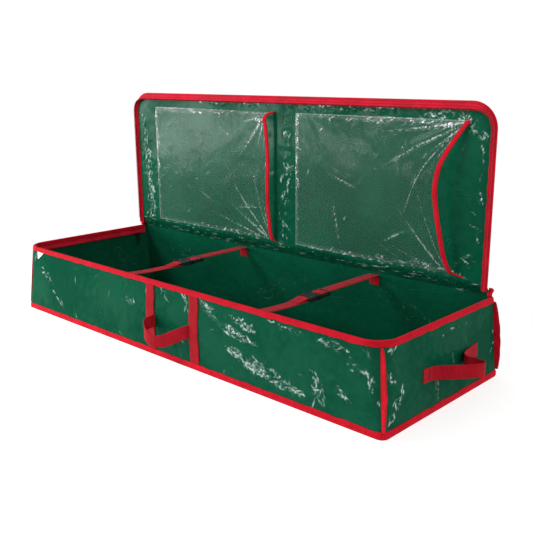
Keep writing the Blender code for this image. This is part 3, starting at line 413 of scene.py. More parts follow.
def closed_sheet(name: str, front: Array, back: Array, places: Array,
                 marks: Optional[dict[str, Array]] = None) -> Piece:
    """A thin closed body: a grid for its front, one for its back, and a strip round their edges.

    Args:
        name: The piece's name.
        front: Rows by columns of points.
        back: The same grid, moved to the other face.
        places: UV places, rows by columns by 2.
        marks: Values for its finish to read, by name. The back carries a part of them.

    Returns:
        The object.
    """
    behind_share = 0.3
    rows, columns = front.shape[:2]
    index = np.arange(rows * columns).reshape(rows, columns)
    quads = np.stack([index[:-1, :-1], index[:-1, 1:], index[1:, 1:], index[1:, :-1]], -1).reshape(-1, 4)
    edge = np.concatenate([index[0, :-1], index[:-1, -1], index[-1, :0:-1], index[:0:-1, 0]])
    after = np.roll(edge, -1)
    behind = rows * columns
    strip = np.stack([after, edge, edge + behind, after + behind], -1)
    faces = np.concatenate([quads, quads[:, ::-1] + behind, strip])
    flat = np.concatenate([places.reshape(-1, 2)] * 2)
    points = np.concatenate([front.reshape(-1, 3), back.reshape(-1, 3)])
    item = mesh_object(name, points, [(faces, flat[faces])])
    for mark, values in (marks or {}).items():
        layer = item.data.attributes.new(mark, "FLOAT", "POINT")
        both = np.concatenate([values.ravel(), behind_share * values.ravel()])
        layer.data.foreach_set("value", both.astype(np.float32))
    return item


def swept(name: str, rings: Array, run: Array, closed: bool = False) -> Piece:
    """A closed body from a row of like rings, capped unless the row closes on itself.

    Its UV map holds the distance along the row and the distance round the first ring.

    Args:
        name: The piece's name.
        rings: Rings by points by 3.
        run: Distance along the row at each ring, with one more value where it closes.
        closed: Whether the last ring joins the first.

    Returns:
        The object.
    """
    count, size = rings.shape[:2]
    index = np.arange(count * size).reshape(count, size)
    girth = run_length(np.vstack([rings[0], rings[0][:1]]))
    low = np.arange(count if closed else count - 1)
    high = (low + 1) % count
    here = np.arange(size)
    there = (here + 1) % size
    faces = np.stack([index[low][:, here], index[low][:, there], index[high][:, there],
                      index[high][:, here]], -1).reshape(-1, 4)
    along = np.stack([run[low], run[low], run[low + 1], run[low + 1]], -1)
    around = np.stack([girth[here], girth[here + 1], girth[here + 1], girth[here]], -1)
    places = np.stack(np.broadcast_arrays(along[:, None, :], around[None, :, :]), -1).reshape(-1, 4, 2)
    groups = [(faces, places)]
    if not closed:
        ends = np.stack([index[0][::-1], index[-1]])
        groups.append((ends, np.zeros(ends.shape + (2,))))
    return mesh_object(name, rings.reshape(-1, 3), groups)


def strap_section(width: float, thick: float) -> Array:
    """Outline of flat webbing: two level faces between rounded edges.

    Args:
        width: Its whole width.
        thick: Its whole thickness.

    Returns:
        Places across and through it.
    """
    radius = thick / 2
    turn = np.linspace(-pi / 2, pi / 2, 5)
    edge = stacked(width / 2 - radius + radius * np.cos(turn), radius * np.sin(turn))
    level = np.linspace(width / 2 - radius, radius - width / 2, 8)[1:-1]
    half = np.vstack([edge, stacked(level, radius)])
    return np.vstack([half, -half])


def ribbon(name: str, path: Array, wide: Array, section: Array) -> Piece:
    """Webbing along a path, with its section set square across the path.

    Args:
        name: The piece's name.
        path: Points that the strap's middle runs through.
        wide: The direction of its width.
        section: Places across and through the strap.

    Returns:
        The object.
    """
    tangent = unit(np.gradient(path, axis=0))
    width = np.broadcast_to(np.asarray(wide, float), path.shape)
    width = unit(width - tangent * np.sum(width * tangent, -1, keepdims=True))
    return swept(name, framed(path, width, np.cross(tangent, width), section), run_length(path))


# Shader wiring

class Wiring:
    """Adds and joins the nodes of one tree."""

    def __init__(self, tree: Tree) -> None:
        """Keep the tree to work on."""
        self.tree = tree

    def node(self, kind: str, inputs: Optional[dict[Any, Any]] = None, **settings: Any) -> Node:
        """Add a node.

        Args:
            kind: The node's type name, without the ShaderNode that it starts with.
            inputs: Values or sockets for its inputs, by name or number.
            **settings: The node's own properties.

        Returns:
            The node.
        """
        item = self.tree.nodes.new("ShaderNode" + kind)
        for key, value in settings.items():
            setattr(item, key, value)
        self.fill(item, inputs or {})
        return item

    def fill(self, item: Node, inputs: dict[Any, Any]) -> None:
        """Link or set inputs of a node, by name or number."""
        for key, value in inputs.items():
            self.feed(item.inputs[key], value)

    def feed(self, socket: Socket, value: Any) -> None:
        """Link a socket into another, or set its value."""
        if isinstance(value, bpy.types.NodeSocket):
            self.tree.links.new(value, socket)
        else:
            socket.default_value = value

    def math(self, operation: str, *values: Any) -> Socket:
        """The result of a Math node on up to three values."""
        return self.node("Math", dict(enumerate(values)), operation=operation).outputs[0]

    def plus(self, first: Any, second: Any) -> Socket:
        """The sum of two values."""
        return self.math("ADD", first, second)

    def times(self, first: Any, second: Any) -> Socket:
        """The product of two values."""
        return self.math("MULTIPLY", first, second)

    def over(self, first: Any, second: Any) -> Socket:
        """The first value divided by the second."""
        return self.math("DIVIDE", first, second)

    def vector(self, operation: str, inputs: dict[Any, Any]) -> Socket:
        """The result of a Vector Math node."""
        return self.node("VectorMath", inputs, operation=operation).outputs[0]

    def band(self, value: Any, low: float, high: float, first: float = 0.0, last: float = 1.0) -> Socket:
        """A value carried smoothly from one range to another."""
        inputs = {"Value": value, "From Min": low, "From Max": high, "To Min": first, "To Max": last}
        return self.node("MapRange", inputs, interpolation_type="SMOOTHSTEP").outputs[0]

    def blend(self, factor: Any, first: Any, second: Any) -> Socket:
        """A colour between two others.

        Args:
            factor: The share of the second.
            first: The first colour.
            second: The second colour.

        Returns:
            The colour.
        """
        item = self.node("Mix", data_type="RGBA")
        for key, value in (("Factor_Float", factor), ("A_Color", first), ("B_Color", second)):
            self.feed(next(socket for socket in item.inputs if socket.identifier == key), value)
        return next(socket for socket in item.outputs if socket.identifier == "Result_Color")

    def mark(self, name: str) -> Socket:
        """A value that the piece's mesh carries, or nothing where it carries none."""
        return self.node("Attribute", attribute_name=name).outputs["Fac"]

    def noise(self, vector: Socket, scale: Any, detail: float = 2, rough: float = 0.5,
              output: Any = 0) -> Socket:
        """An output of a noise texture on a vector, which is its value unless another is asked for."""
        inputs = {"Vector": vector, "Scale": scale, "Detail": detail, "Roughness": rough}
        return self.node("TexNoise", inputs).outputs[output]

    def bump(self, height: Socket, distance: float = 1.0, **under: Socket) -> Socket:
        """The normal of a height, on top of a Normal where one is given."""
        return self.node("Bump", {"Height": height, "Distance": distance, **under}).outputs[0]

    def split(self, vector: Socket) -> tuple[Socket, Socket, Socket]:
        """The three values of a vector."""
        return tuple(self.node("SeparateXYZ", {0: vector}).outputs)


class Surface(Wiring):
    """Wires a material: its Principled shader, its Object coordinates and its UV coordinates.

    UV coordinates hold metres along and across a piece.
    """

    def __init__(self, material: bpy.types.Material) -> None:
        """Find the shader and add the coordinates.

        Args:
            material: A material with its first nodes.
        """
        super().__init__(material.node_tree)
        self.shader = material.node_tree.nodes["Principled BSDF"]
        places = self.node("TexCoord")
        self.solid, self.flat = places.outputs["Object"], places.outputs["UV"]

    def dress(self, inputs: dict[str, Any]) -> None:
        """Link or set the shader's inputs, by name."""
        self.fill(self.shader, inputs)


@dataclass(frozen=True)
class Effect:
    """An effect that several finishes share: a node group with named inputs and outputs, built once.

    Each input has a default, which is a number, or None for a vector.
    """

    name: str
    inputs: dict[str, Optional[float]]
    outputs: tuple[str, ...]
    wire: Callable[[Wiring, Any], Sequence[Socket]]

    def group(self) -> Tree:
        """Build the node group.

        Returns:
            The group.
        """
        tree = bpy.data.node_groups.new(self.name, "ShaderNodeTree")
        for label, default in self.inputs.items():
            kind = "NodeSocketVector" if default is None else "NodeSocketFloat"
            socket = tree.interface.new_socket(label, in_out="INPUT", socket_type=kind)
            if default is not None:
                socket.default_value = default
        for label in self.outputs:
            tree.interface.new_socket(label, in_out="OUTPUT", socket_type="NodeSocketFloat")
        given, out = tree.nodes.new("NodeGroupInput"), tree.nodes.new("NodeGroupOutput")
        for label, value in zip(self.outputs, self.wire(Wiring(tree), given.outputs)):
            tree.links.new(value, out.inputs[label])
        return tree

    def place(self, w: Wiring, **inputs: Any) -> Any:
        """Set the group in a material.

        Args:
            w: The material's wiring.
            **inputs: Values or sockets for the group's inputs.

        Returns:
            The group's outputs, by name or number.
        """
        if self.name not in MADE:
            MADE[self.name] = self.group()
        return w.node("Group", inputs, node_tree=MADE[self.name]).outputs


def wire_creases(w: Wiring, given: Any) -> Sequence[Socket]:
    """Sparse sharp creases of a crumpled sheet.

    A crease is a narrow roof along the edges of a warped cell pattern, at two sizes. A noise mask
    leaves only some stretches of them.

    Args:
        w: The group's wiring.
        given: Its inputs.

    Returns:
        The height, and a mask of the creases' ridges.
    """
    vector, size = given["Vector"], given["Size"]
    rate = w.over(1, size)
    warp = w.noise(vector, w.times(rate, 0.8), output="Color")
    moved = w.vector("SUBTRACT", {0: warp, 1: (0.5, 0.5, 0.5)})
    moved = w.vector("SCALE", {0: moved, "Scale": w.times(size, 0.45)})
    place = w.vector("ADD", {0: vector, 1: moved})
    heights, lines = [], []
    for finer, half, low, shift in ((1, 0.04, 0.5, 0), (2.6, 0.085, 0.55, 3.7)):
        cells = w.node("TexVoronoi", {"Vector": place, "Scale": w.times(rate, finer)},
                       feature="DISTANCE_TO_EDGE").outputs["Distance"]
        seen = w.vector("ADD", {0: vector, 1: (shift, shift, shift)})
        mask = w.band(w.noise(seen, w.times(rate, 0.9)), low, low + 0.1)
        roof = w.times(w.math("MAXIMUM", w.math("SUBTRACT", half, cells), 0), mask)
        facet = w.times(w.math("MINIMUM", cells, 0.35), 0.1)
        heights.append(w.over(w.plus(roof, facet), finer))
        lines.append(w.times(w.band(cells, half * 0.7, 0), mask))
    steep = w.times(size, given["Slope"])
    return w.times(w.plus(*heights), steep), w.math("MAXIMUM", *lines)


def wire_weave(w: Wiring, given: Any) -> Sequence[Socket]:
    """Flat threads that pass over and under each other in turn.

    Squares take turns in a checker, and in each the height is the hump of the thread on top.

    Args:
        w: The group's wiring.
        given: Its inputs.

    Returns:
        The height.
    """
    waves = [w.math("SINE", w.times(w.over(value, given["Pitch"]), pi))
             for value in w.split(given["Vector"])[:2]]
    over = w.math("GREATER_THAN", w.times(*waves), 0)
    first, second = (w.math("ABSOLUTE", wave) for wave in waves)
    return (w.plus(w.times(first, over), w.times(second, w.math("SUBTRACT", 1, over))),)


def wire_stitches(w: Wiring, given: Any) -> Sequence[Socket]:
    """A row of sewn stitches along the first value of a vector, at one place of its second.

    The mask is one on the thread: near the line, for two thirds of each step along it.

    Args:
        w: The group's wiring.
        given: Its inputs.

    Returns:
        The mask, and how far the cloth is pulled in at the row.
    """
    along, across, _ = w.split(given["Vector"])
    away = w.math("ABSOLUTE", w.math("SUBTRACT", across, given["Line"]))
    place = w.math("FRACT", w.over(along, given["Step"]))
    middle = w.math("ABSOLUTE", w.math("SUBTRACT", place, 0.5))
    mask = w.times(w.band(away, 0.00055, 0.00025), w.band(middle, 0.4, 0.3))
    return mask, w.band(away, 0.0022, 0)


def wire_mottle(w: Wiring, given: Any) -> Sequence[Socket]:
    """Slow and quick variation of a finish, from nothing to one, on noise of two sizes.

    Args:
        w: The group's wiring.
        given: Its inputs.

    Returns:
        The value.
    """
    slow = w.noise(given["Vector"], w.over(1, given["Size"]), 3)
    quick = w.noise(given["Vector"], w.over(9, given["Size"]))
    return (w.band(w.plus(w.times(slow, 0.7), w.times(quick, 0.3)), 0.36, 0.64),)


CREASES = Effect("creases", {"Vector": None, "Size": 0.02, "Slope": 0.3}, ("Height", "Lines"), wire_creases)
WEAVE = Effect("weave", {"Vector": None, "Pitch": 0.001}, ("Height",), wire_weave)
STITCHES = Effect("stitches", {"Vector": None, "Line": 0.002, "Step": 0.0034}, ("Mask", "Pull"),
                  wire_stitches)
MOTTLE = Effect("mottle", {"Vector": None, "Size": 0.1}, ("Value",), wire_mottle)


# Finishes

@dataclass(frozen=True)
class Finish:
    """A material: its name, its main colour and its roughness. Kinds of finish add their own wiring."""

    name: str
    colour: Colour
    roughness: float

    def material(self) -> bpy.types.Material:
        """The finished material, made on its first use.

        Returns:
            The material.
        """
        if self.name not in MADE:
            material = bpy.data.materials.new(self.name)
            material.use_nodes = True
            material.diffuse_color = self.colour
            w = Surface(material)
            w.dress({"Base Color": self.colour, "Roughness": self.roughness})
            self.wire(w)
            MADE[self.name] = material
        return MADE[self.name]

    def wire(self, w: Surface) -> None:
        """Join the finish's own nodes.

        Args:
            w: The material's wiring.
        """
        raise NotImplementedError

    def shade(self, level: float) -> Colour:
        """The main colour made lighter or darker."""
        return (*(min(1.0, value * level) for value in self.colour[:3]), 1.0)


@dataclass(frozen=True)
class WovenPolythene(Finish):
    """Crumpled woven polythene sheet with a glossy film on it, patterned in space or by its UV map."""

    crease: float = 0.042
    slope: float = 0.4
    by_map: bool = False
    # The colour of the painted highlights along the glints.
    pale: Colour = (0.62, 0.78, 0.72, 1.0)

    def wire(self, w: Surface) -> None:
        """Creases and threads in the bump; painted shade where the threads dip; painted highlights on the
        crease ridges and along the glints, which also carry white gloss.
        """
        place = w.flat if self.by_map else w.solid
        broken = w.band(w.noise(place, 190.0), 0.34, 0.58, 0.25, 1.0)
        glint = w.band(w.times(w.mark("glint"), broken), 0.06, 0.85)
        creases = CREASES.place(w, Vector=place, Size=self.crease, Slope=self.slope)
        cloud = MOTTLE.place(w, Vector=place, Size=0.12)[0]
        threads = WEAVE.place(w, Vector=w.flat, Pitch=0.0011)[0]
        tone = w.blend(cloud, self.shade(0.86), self.shade(1.12))
        # Painted shade: darker where the weave's threads dip.
        tone = w.blend(w.band(threads, 0, 1, 0.12, 0), tone, self.shade(0.6))
        # Painted highlight: a lighter line along the ridges of the creases.
        tone = w.blend(w.times(creases["Lines"], 0.08), tone, self.shade(3.2))
        gloss = w.plus(w.times(glint, 0.8), w.band(cloud, 0, 1, 0.05, 0.12))
        # Painted highlight: the base colour turns pale along the glints.
        w.dress({"Base Color": w.blend(w.times(glint, 0.8), tone, self.pale),
                 "Roughness": w.band(cloud, 0, 1, self.roughness, self.roughness + 0.12),
                 "Coat Weight": w.math("MINIMUM", gloss, 1.0), "Coat Roughness": 0.14,
                 "Specular IOR Level": 0,
                 "Normal": w.bump(creases["Height"], Normal=w.bump(threads, 0.00003))})


@dataclass(frozen=True)
class SewnTape(Finish):
    """Bias tape or zip tape: fine slanting ribs, and a row of stitches on each sewn line."""

    lines: tuple[float, ...] = ()
    ribs: float = 0.0011
    # How much lighter the stitches are than the tape; below one, as on the zip tape, they carry painted
    # shade.
    pale: float = 1.35

    def wire(self, w: Surface) -> None:
        """Slanting ribs, puckers at the stitches, and thread in a shade of the tape: paler on most tapes,
        and darker on the zip tape, where the dark rows are painted shade of its folds.
        """
        along, across, _ = w.split(w.flat)
        slant = w.over(w.plus(along, w.times(across, 0.8)), self.ribs)
        rib = w.times(w.math("SINE", w.times(slant, tau)), 0.5)
        cloud = MOTTLE.place(w, Vector=w.solid, Size=0.03)[0]
        height = w.plus(w.times(rib, 0.00005), w.times(cloud, 0.0002))
        colour = w.blend(cloud, self.shade(0.84), self.shade(1.1))
        colour = w.blend(w.band(rib, -0.5, 0.5, 0.0, 0.22), colour, self.shade(0.55))
        for line in self.lines:
            row = STITCHES.place(w, Vector=w.flat, Line=line)
            colour = w.blend(row["Mask"], colour, self.shade(self.pale))
            height = w.plus(height, w.times(row["Pull"], -0.00035))
            height = w.plus(height, w.times(row["Mask"], 0.00025))
        w.dress({"Base Color": colour, "Sheen Weight": 0.03, "Sheen Roughness": 0.4,
                 "Specular IOR Level": 0.06, "Normal": w.bump(height)})


@dataclass(frozen=True)
class Webbing(Finish):
    """Flat polypropylene webbing: ribs across it, each made of slanting threads."""

    rib: float = 0.0021

    def wire(self, w: Surface) -> None:
        """Ribs and threads in the bump, with painted shade between the ribs."""
        along, across, _ = w.split(w.flat)
        rib = w.math("SINE", w.times(w.over(along, self.rib), tau))
        slant = w.over(w.plus(across, along), self.rib * 0.62)
        thread = w.math("SINE", w.times(slant, tau))
        height = w.plus(w.times(rib, 0.00016), w.times(thread, 0.00006))
        cloud = MOTTLE.place(w, Vector=w.solid, Size=0.025)[0]
        colour = w.blend(cloud, self.shade(0.86), self.shade(1.08))
        # Painted shade: darker in the hollows between the ribs.
        colour = w.blend(w.band(rib, 0.2, -1.0, 0.0, 0.45), colour, self.shade(0.45))
        w.dress({"Base Color": colour, "Sheen Weight": 0.05, "Specular IOR Level": 0.06,
                 "Normal": w.bump(height)})


@dataclass(frozen=True)
class MouldedPlastic(Finish):
    """Moulded plastic with a fine spark-eroded grain and rubbed high spots."""

    def wire(self, w: Surface) -> None:
        """Grain in the bump, and faint scuffs in the colour and the roughness."""
        scuffs = w.band(w.noise(w.solid, 260, 4, 0.7), 0.52, 0.75)
        w.dress({"Base Color": w.blend(scuffs, self.colour, self.shade(2.6)),
                 "Roughness": w.band(scuffs, 0, 1, self.roughness, self.roughness + 0.18),
                 "Normal": w.bump(w.noise(w.solid, 2400), 0.00003)})


@dataclass(frozen=True)
class ClearFilm(Finish):
    """Clear soft film: see-through where it is smooth, with painted highlights along its creases and at its
    cut edge, and a little more opaque in its hem.
    """

    crease: float = 0.022
    slope: float = 0.45

    def wire(self, w: Surface) -> None:
        """Nearly clear; opaque white along its glints and at its cut edge as painted highlights, and a
        little more opaque in its hem.
        """
        glint, hem, edge = w.mark("glint"), w.mark("hem"), w.mark("edge")
        broken = w.band(w.noise(w.solid, 220.0), 0.36, 0.6, 0.2, 1.0)
        glint = w.band(w.times(glint, broken), 0.08, 0.9)
        slope = w.band(hem, 0, 1, 0, self.slope)
        creases = CREASES.place(w, Vector=w.solid, Size=self.crease, Slope=slope)
        facing = w.node("LayerWeight", {"Blend": 0.2}).outputs["Facing"]
        # Opacity over the film's white colour: the glint and edge terms paint highlights on it.
        total = 0.01
        for part, weight in ((facing, 0.02), (glint, 0.62), (hem, 0.03), (edge, 0.14)):
            total = w.plus(total, w.times(part, weight))
        w.dress({"Alpha": w.math("MINIMUM", total, 0.9), "Normal": w.bump(creases["Height"]),
                 "Specular IOR Level": 0.6, "Coat Weight": 1, "Coat Roughness": 0.12})


@dataclass(frozen=True)
class Satin(Finish):
    """A blank woven label with a soft gloss."""

    def wire(self, w: Surface) -> None:
        """Fine threads in the bump and a faint mottle in the colour."""
        threads = WEAVE.place(w, Vector=w.flat, Pitch=0.0005)[0]
        cloud = MOTTLE.place(w, Vector=w.solid, Size=0.01)[0]
        w.dress({"Base Color": w.blend(cloud, self.shade(0.92), self.shade(1)),
                 "Normal": w.bump(threads, 0.00005)})


@dataclass(frozen=True)
class FibreBoard(Finish):
    """Grey-brown board of pressed fibre."""

    def wire(self, w: Surface) -> None:
        """Fibres as stretched noise in colour and bump."""
        stretched = w.node("Mapping", {"Vector": w.solid, "Scale": (60, 900, 400)}).outputs[0]
        fibres = w.noise(stretched, 1, 4, 0.65)
        w.dress({"Base Color": w.blend(fibres, self.shade(0.75), self.shade(1.15)),
                 "Normal": w.bump(fibres, 0.0002)})


POLYTHENE_GREEN = (0.003, 0.08, 0.04, 1.0)
TAPE_RED = (0.58, 0.006, 0.02, 1.0)
GREEN = WovenPolythene("green_polythene", POLYTHENE_GREEN, 0.34)
GREEN_HINGE = WovenPolythene("green_polythene_hinge", POLYTHENE_GREEN, 0.34, by_map=True)
DARK_GREEN = WovenPolythene("dark_green_polythene", (0.003, 0.05, 0.026, 1.0), 0.42, 0.06, 0.3)
RIM_TAPE = SewnTape("rim_tape", TAPE_RED, 0.76, (0.0035,))
PLAIN_TAPE = SewnTape("plain_tape", TAPE_RED, 0.76)
# The zip tape's darker stitch rows are painted shade of its folds.
ZIP_TAPE = SewnTape("zip_tape", (0.58, 0.012, 0.031, 1.0), 0.76, (0.0018, 0.0042, 0.0078, 0.0102),
                    0.0008, 0.55)
ZIP_COIL = SewnTape("zip_coil", (0.52, 0.014, 0.034, 1.0), 0.45, ribs=0.0008)
STRAP_WEB = Webbing("strap_webbing", (0.44, 0.006, 0.016, 1.0), 0.82)
BLACK_PLASTIC = MouldedPlastic("buckle_plastic", (0.01, 0.01, 0.011, 1.0), 0.36)
CLEAR = ClearFilm("pocket_film", (0.9, 0.93, 0.92, 1.0), 0.1)
LABEL_CLOTH = Satin("label_satin", (0.86, 0.86, 0.86, 1.0), 0.55)
STIFF_BOARD = FibreBoard("pressed_board", (0.36, 0.3, 0.22, 1.0), 0.85)


def seat(item: Piece, body: str, slot: str, finish: Finish, *nodes: str) -> Piece:
    """Dress a finished piece, let it ride on its body and stand for its nodes.

    Args:
        item: The piece, in place.
        body: The body that carries it, or FOLD_LINE where it bends at the lid's fold.
        slot: The record's material slot for it. It is not used.
        finish: Its finish.
        *nodes: The nodes that it stands for.

    Returns:
        The piece.
    """
    item.data.materials.append(finish.material())
    if body == FOLD_LINE:
        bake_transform(item)
    else:
        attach(item, body)
    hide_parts(*nodes)
    LOG.info("%s rides on %s, %d faces", item.name, body, len(item.data.polygons))
    return item


def dress_node(name: str, finish: Finish, edge: float = 0.0) -> None:
    """Give a node that keeps its shape a finish, and rounded edges if a width is given.

    Args:
        name: The node.
        finish: Its finish.
        edge: Width of the rounded edges.
    """
    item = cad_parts[name]
    if not item.material_slots:
        item.data.materials.append(None)
    for slot in item.material_slots:
        slot.material = finish.material()
    if edge > 0.0:
        weld = item.modifiers.new("weld", "WELD")
        weld.merge_threshold = 0.00001
        round_off = item.modifiers.new("edges", "BEVEL")
        round_off.width = edge
        round_off.segments = 3
        round_off.limit_method = "ANGLE"
        round_off.angle_limit = radians(40)
        round_off.harden_normals = True
    LOG.info("%s keeps its own shape", name)


# The box's form

@dataclass(frozen=True)
class BoxForm:
    """Sizes of the box and the formulas of its walls."""

    length: float = 1.03
    width: float = 0.356
    height: float = 0.156
    wall: float = 0.0025
    rim_radius: float = 0.045
    foot_radius: float = 0.012
    end_flare: float = 0.007
    front_flare: float = 0.0005
    back_flare: float = 0.018
    long_bulge: float = 0.003
    end_bulge: float = 0.005
    gap: float = 0.0003
    tape: float = 0.0012
    rim_leg: float = 0.0095
    foot_tape: float = 0.012
    inner_leg: float = 0.0041

    @property
    def under_rim(self) -> float:
        """The height of the rim tape's lower edge, less a gap."""
        return self.height - self.rim_leg - self.gap

    def corners(self, side: Side, z: Array) -> tuple[Array, Array, Array, Array]:
        """Where a wall's two sharp corners lie along it and how far out it stands, with their radii.

        Args:
            side: The wall.
            z: Heights.

        Returns:
            The first corner in plan, the distance to the second, and the radii of the two.
        """
        share = z / self.height
        x = self.length / 2 + self.end_flare * (1 - share)
        front = -self.width / 2 - self.front_flare * (1 - share)
        back = self.width / 2 + self.back_flare * (1 - share)
        opened = lerp(self.foot_radius, self.rim_radius, share)
        tight = np.full_like(opened, self.foot_radius)
        first = {Side.FRONT: (-x, front), Side.RIGHT: (x, front),
                 Side.BACK: (x, back), Side.LEFT: (-x, back)}
        reach = 2 * x if side in (Side.FRONT, Side.BACK) else back - front
        start = tight if side in (Side.BACK, Side.LEFT) else opened
        end = tight if side in (Side.RIGHT, Side.BACK) else opened
        return stacked(*first[side]), reach, start, end

    def wall_length(self, side: Side, z: float) -> float:
        """Length of a wall's outer line from one corner seam to the next."""
        _, reach, start, end = self.corners(side, np.array(z))
        return float(reach - (start + end) * (1 - pi / 4))

    def wall_points(self, side: Side, run: Array, z: Array, offset: Array = 0.0) -> Array:
        """Points on a wall's outer face, pushed out by an offset.

        An eighth of a circle leads out of the first corner seam and into the next. The straight
        between bows out by the bulge.

        Args:
            side: The wall.
            run: Shares of the line, from one corner seam to the next.
            z: Heights.
            offset: Distances to push out.

        Returns:
            Points, in the shape that the three give together.
        """
        run, z, offset = np.broadcast_arrays(np.asarray(run, float), np.asarray(z, float), offset)
        first, reach, start, end = self.corners(side, z)
        straight = reach - start - end
        opening = start * pi / 4
        total = opening + straight + end * pi / 4
        gone = run * total
        angle = pi / 4 + np.minimum(gone, opening) / start
        level = np.clip(gone - opening, 0, straight)
        closing = pi / 2 - np.maximum(gone - opening - straight, 0) / end
        depth = self.long_bulge if side in (Side.FRONT, Side.BACK) else self.end_bulge
        share = np.clip(z / self.height, 0, 1)
        bow = depth * np.sin(pi * share) ** 2 * np.sin(pi * level / straight)
        along = start - (start + offset) * np.cos(angle) + level + (end + offset) * np.cos(closing)
        out = ((offset + bow) * np.sin(angle) * np.sin(closing)
               + start * (np.sin(angle) - 1) + end * (np.sin(closing) - 1))
        direction, outward = (np.array(vector) for vector in side.value)
        plan = first + along[..., None] * direction + out[..., None] * outward
        return stacked(plan[..., 0], plan[..., 1], z)

    def run_at(self, side: Side, place: Array, z: Array) -> Array:
        """The share of a wall's line at places along it.

        Args:
            side: The wall.
            place: X or Y, whichever runs along the wall.
            z: Heights.

        Returns:
            Shares from one corner seam to the next.
        """
        first, reach, start, end = self.corners(side, np.asarray(z, float))
        direction = np.array(side.value[0])
        gone = place * direction.sum() - first @ direction
        total = reach - (start + end) * (1 - pi / 4)
        turned = (np.arccos(np.clip(1 - gone / start, 0, 1)) - pi / 4) * start
        return np.where(gone < start, turned, start * pi / 4 + gone - start) / total

    def beside(self, side: Side, place: Array, z: Array, offset: Array) -> Array:
        """Points on a wall at places along it, given as X or Y, pushed out by an offset."""
        return self.wall_points(side, self.run_at(side, place, z), z, offset)


BOX = BoxForm()


@dataclass(frozen=True)
class LidForm:
    """Sizes of the lid, and the frame that its pieces lie in."""

    hinge_y: float = 0.16275
    hinge_z: float = 0.176
    lean: float = radians(0.8)
    depth: float = 0.329
    half_length: float = 0.5042
    radius: float = 0.048
    half: float = 0.0019
    sheet: float = 0.0008
    sheet_foot: float = 0.0059
    skirt_start: float = -0.009
    bend_start: float = 0.168
    bend_end: float = 0.184

    def place(self, x: Array, lift: Array, rise: Array) -> Array:
        """Points of the lid in the model's frame.

        Args:
            x: Places along the lid.
            lift: Distances from its middle plane, towards the back.
            rise: Distances up it from the fold.

        Returns:
            Points.
        """
        x, lift, rise = np.broadcast_arrays(x, lift, rise)
        cosine, sine = cos(self.lean), sin(self.lean)
        return stacked(x, self.hinge_y + lift * cosine - rise * sine,
                       self.hinge_z + lift * sine + rise * cosine)

    def edge_length(self) -> float:
        """Length of the free edge, up one side, over the top and down the other."""
        side = self.depth - self.radius - self.skirt_start
        return 2 * side + pi * self.radius + 2 * (self.half_length - self.radius)

    def edge(self, gone: Array, inset: Array) -> tuple[Array, Array, Array]:
        """The free edge, moved in by an inset.

        Args:
            gone: Distances along the edge from the foot of its left side.
            inset: How far inside the edge to stay.

        Returns:
            X, the rise above the fold, and how far the place belongs to the top run, from 0 to 1.
        """
        side = self.depth - self.radius - self.skirt_start
        quarter = pi * self.radius / 2
        top = 2 * (self.half_length - self.radius)
        first = np.clip(gone - side, 0, quarter) / self.radius
        over = np.clip(gone - side - quarter, 0, top)
        second = np.clip(gone - side - quarter - top, 0, quarter) / self.radius
        down = np.clip(gone - side - 2 * quarter - top, 0, side)
        reach = self.radius - inset
        x = over - top / 2 - reach * np.cos(first) + reach * np.sin(second)
        rise = (self.skirt_start + np.clip(gone, 0, side) + reach * np.sin(first)
                + reach * (np.cos(second) - 1) - down)
        share = smooth(first / (pi / 2)) * (1 - smooth(second / (pi / 2)))
        return x, rise, share


LID = LidForm()


@dataclass(frozen=True)
class ZipForm:
    """Sizes that both halves of the zip share, and the winding of its coil."""

    tape: float = 0.001
    radius: float = 0.0013
    pitch: float = 0.0018
    steps: int = 10

    def places(self, low: float, high: float) -> Array:
        """Distances along a coil at each step of its turns."""
        return np.arange(low, high, self.pitch / self.steps)

    def coil(self, name: str, lines: Sequence[Array], run: Array) -> Piece:
        """A wire wound round a line, with four points round the wire at each step of its turn.

        Args:
            name: The piece's name.
            lines: The line, and the same moved in the first and in the second direction.
            run: Distances along the line.

        Returns:
            The object.
        """
        centre, first, second = lines[0], unit(lines[1] - lines[0]), unit(lines[2] - lines[0])
        wire = self.radius * 0.28
        turn = np.arange(len(centre)) * tau / self.steps
        out = first * np.cos(turn)[:, None] + second * np.sin(turn)[:, None]
        along = unit(np.gradient(centre, axis=0))
        spot = centre + out * (self.radius - wire)
        rings = np.stack([spot + out * wire, spot + along * wire,
                          spot - out * wire, spot - along * wire], 1)
        return swept(name, rings, run)


ZIP = ZipForm()


# Sub-assemblies

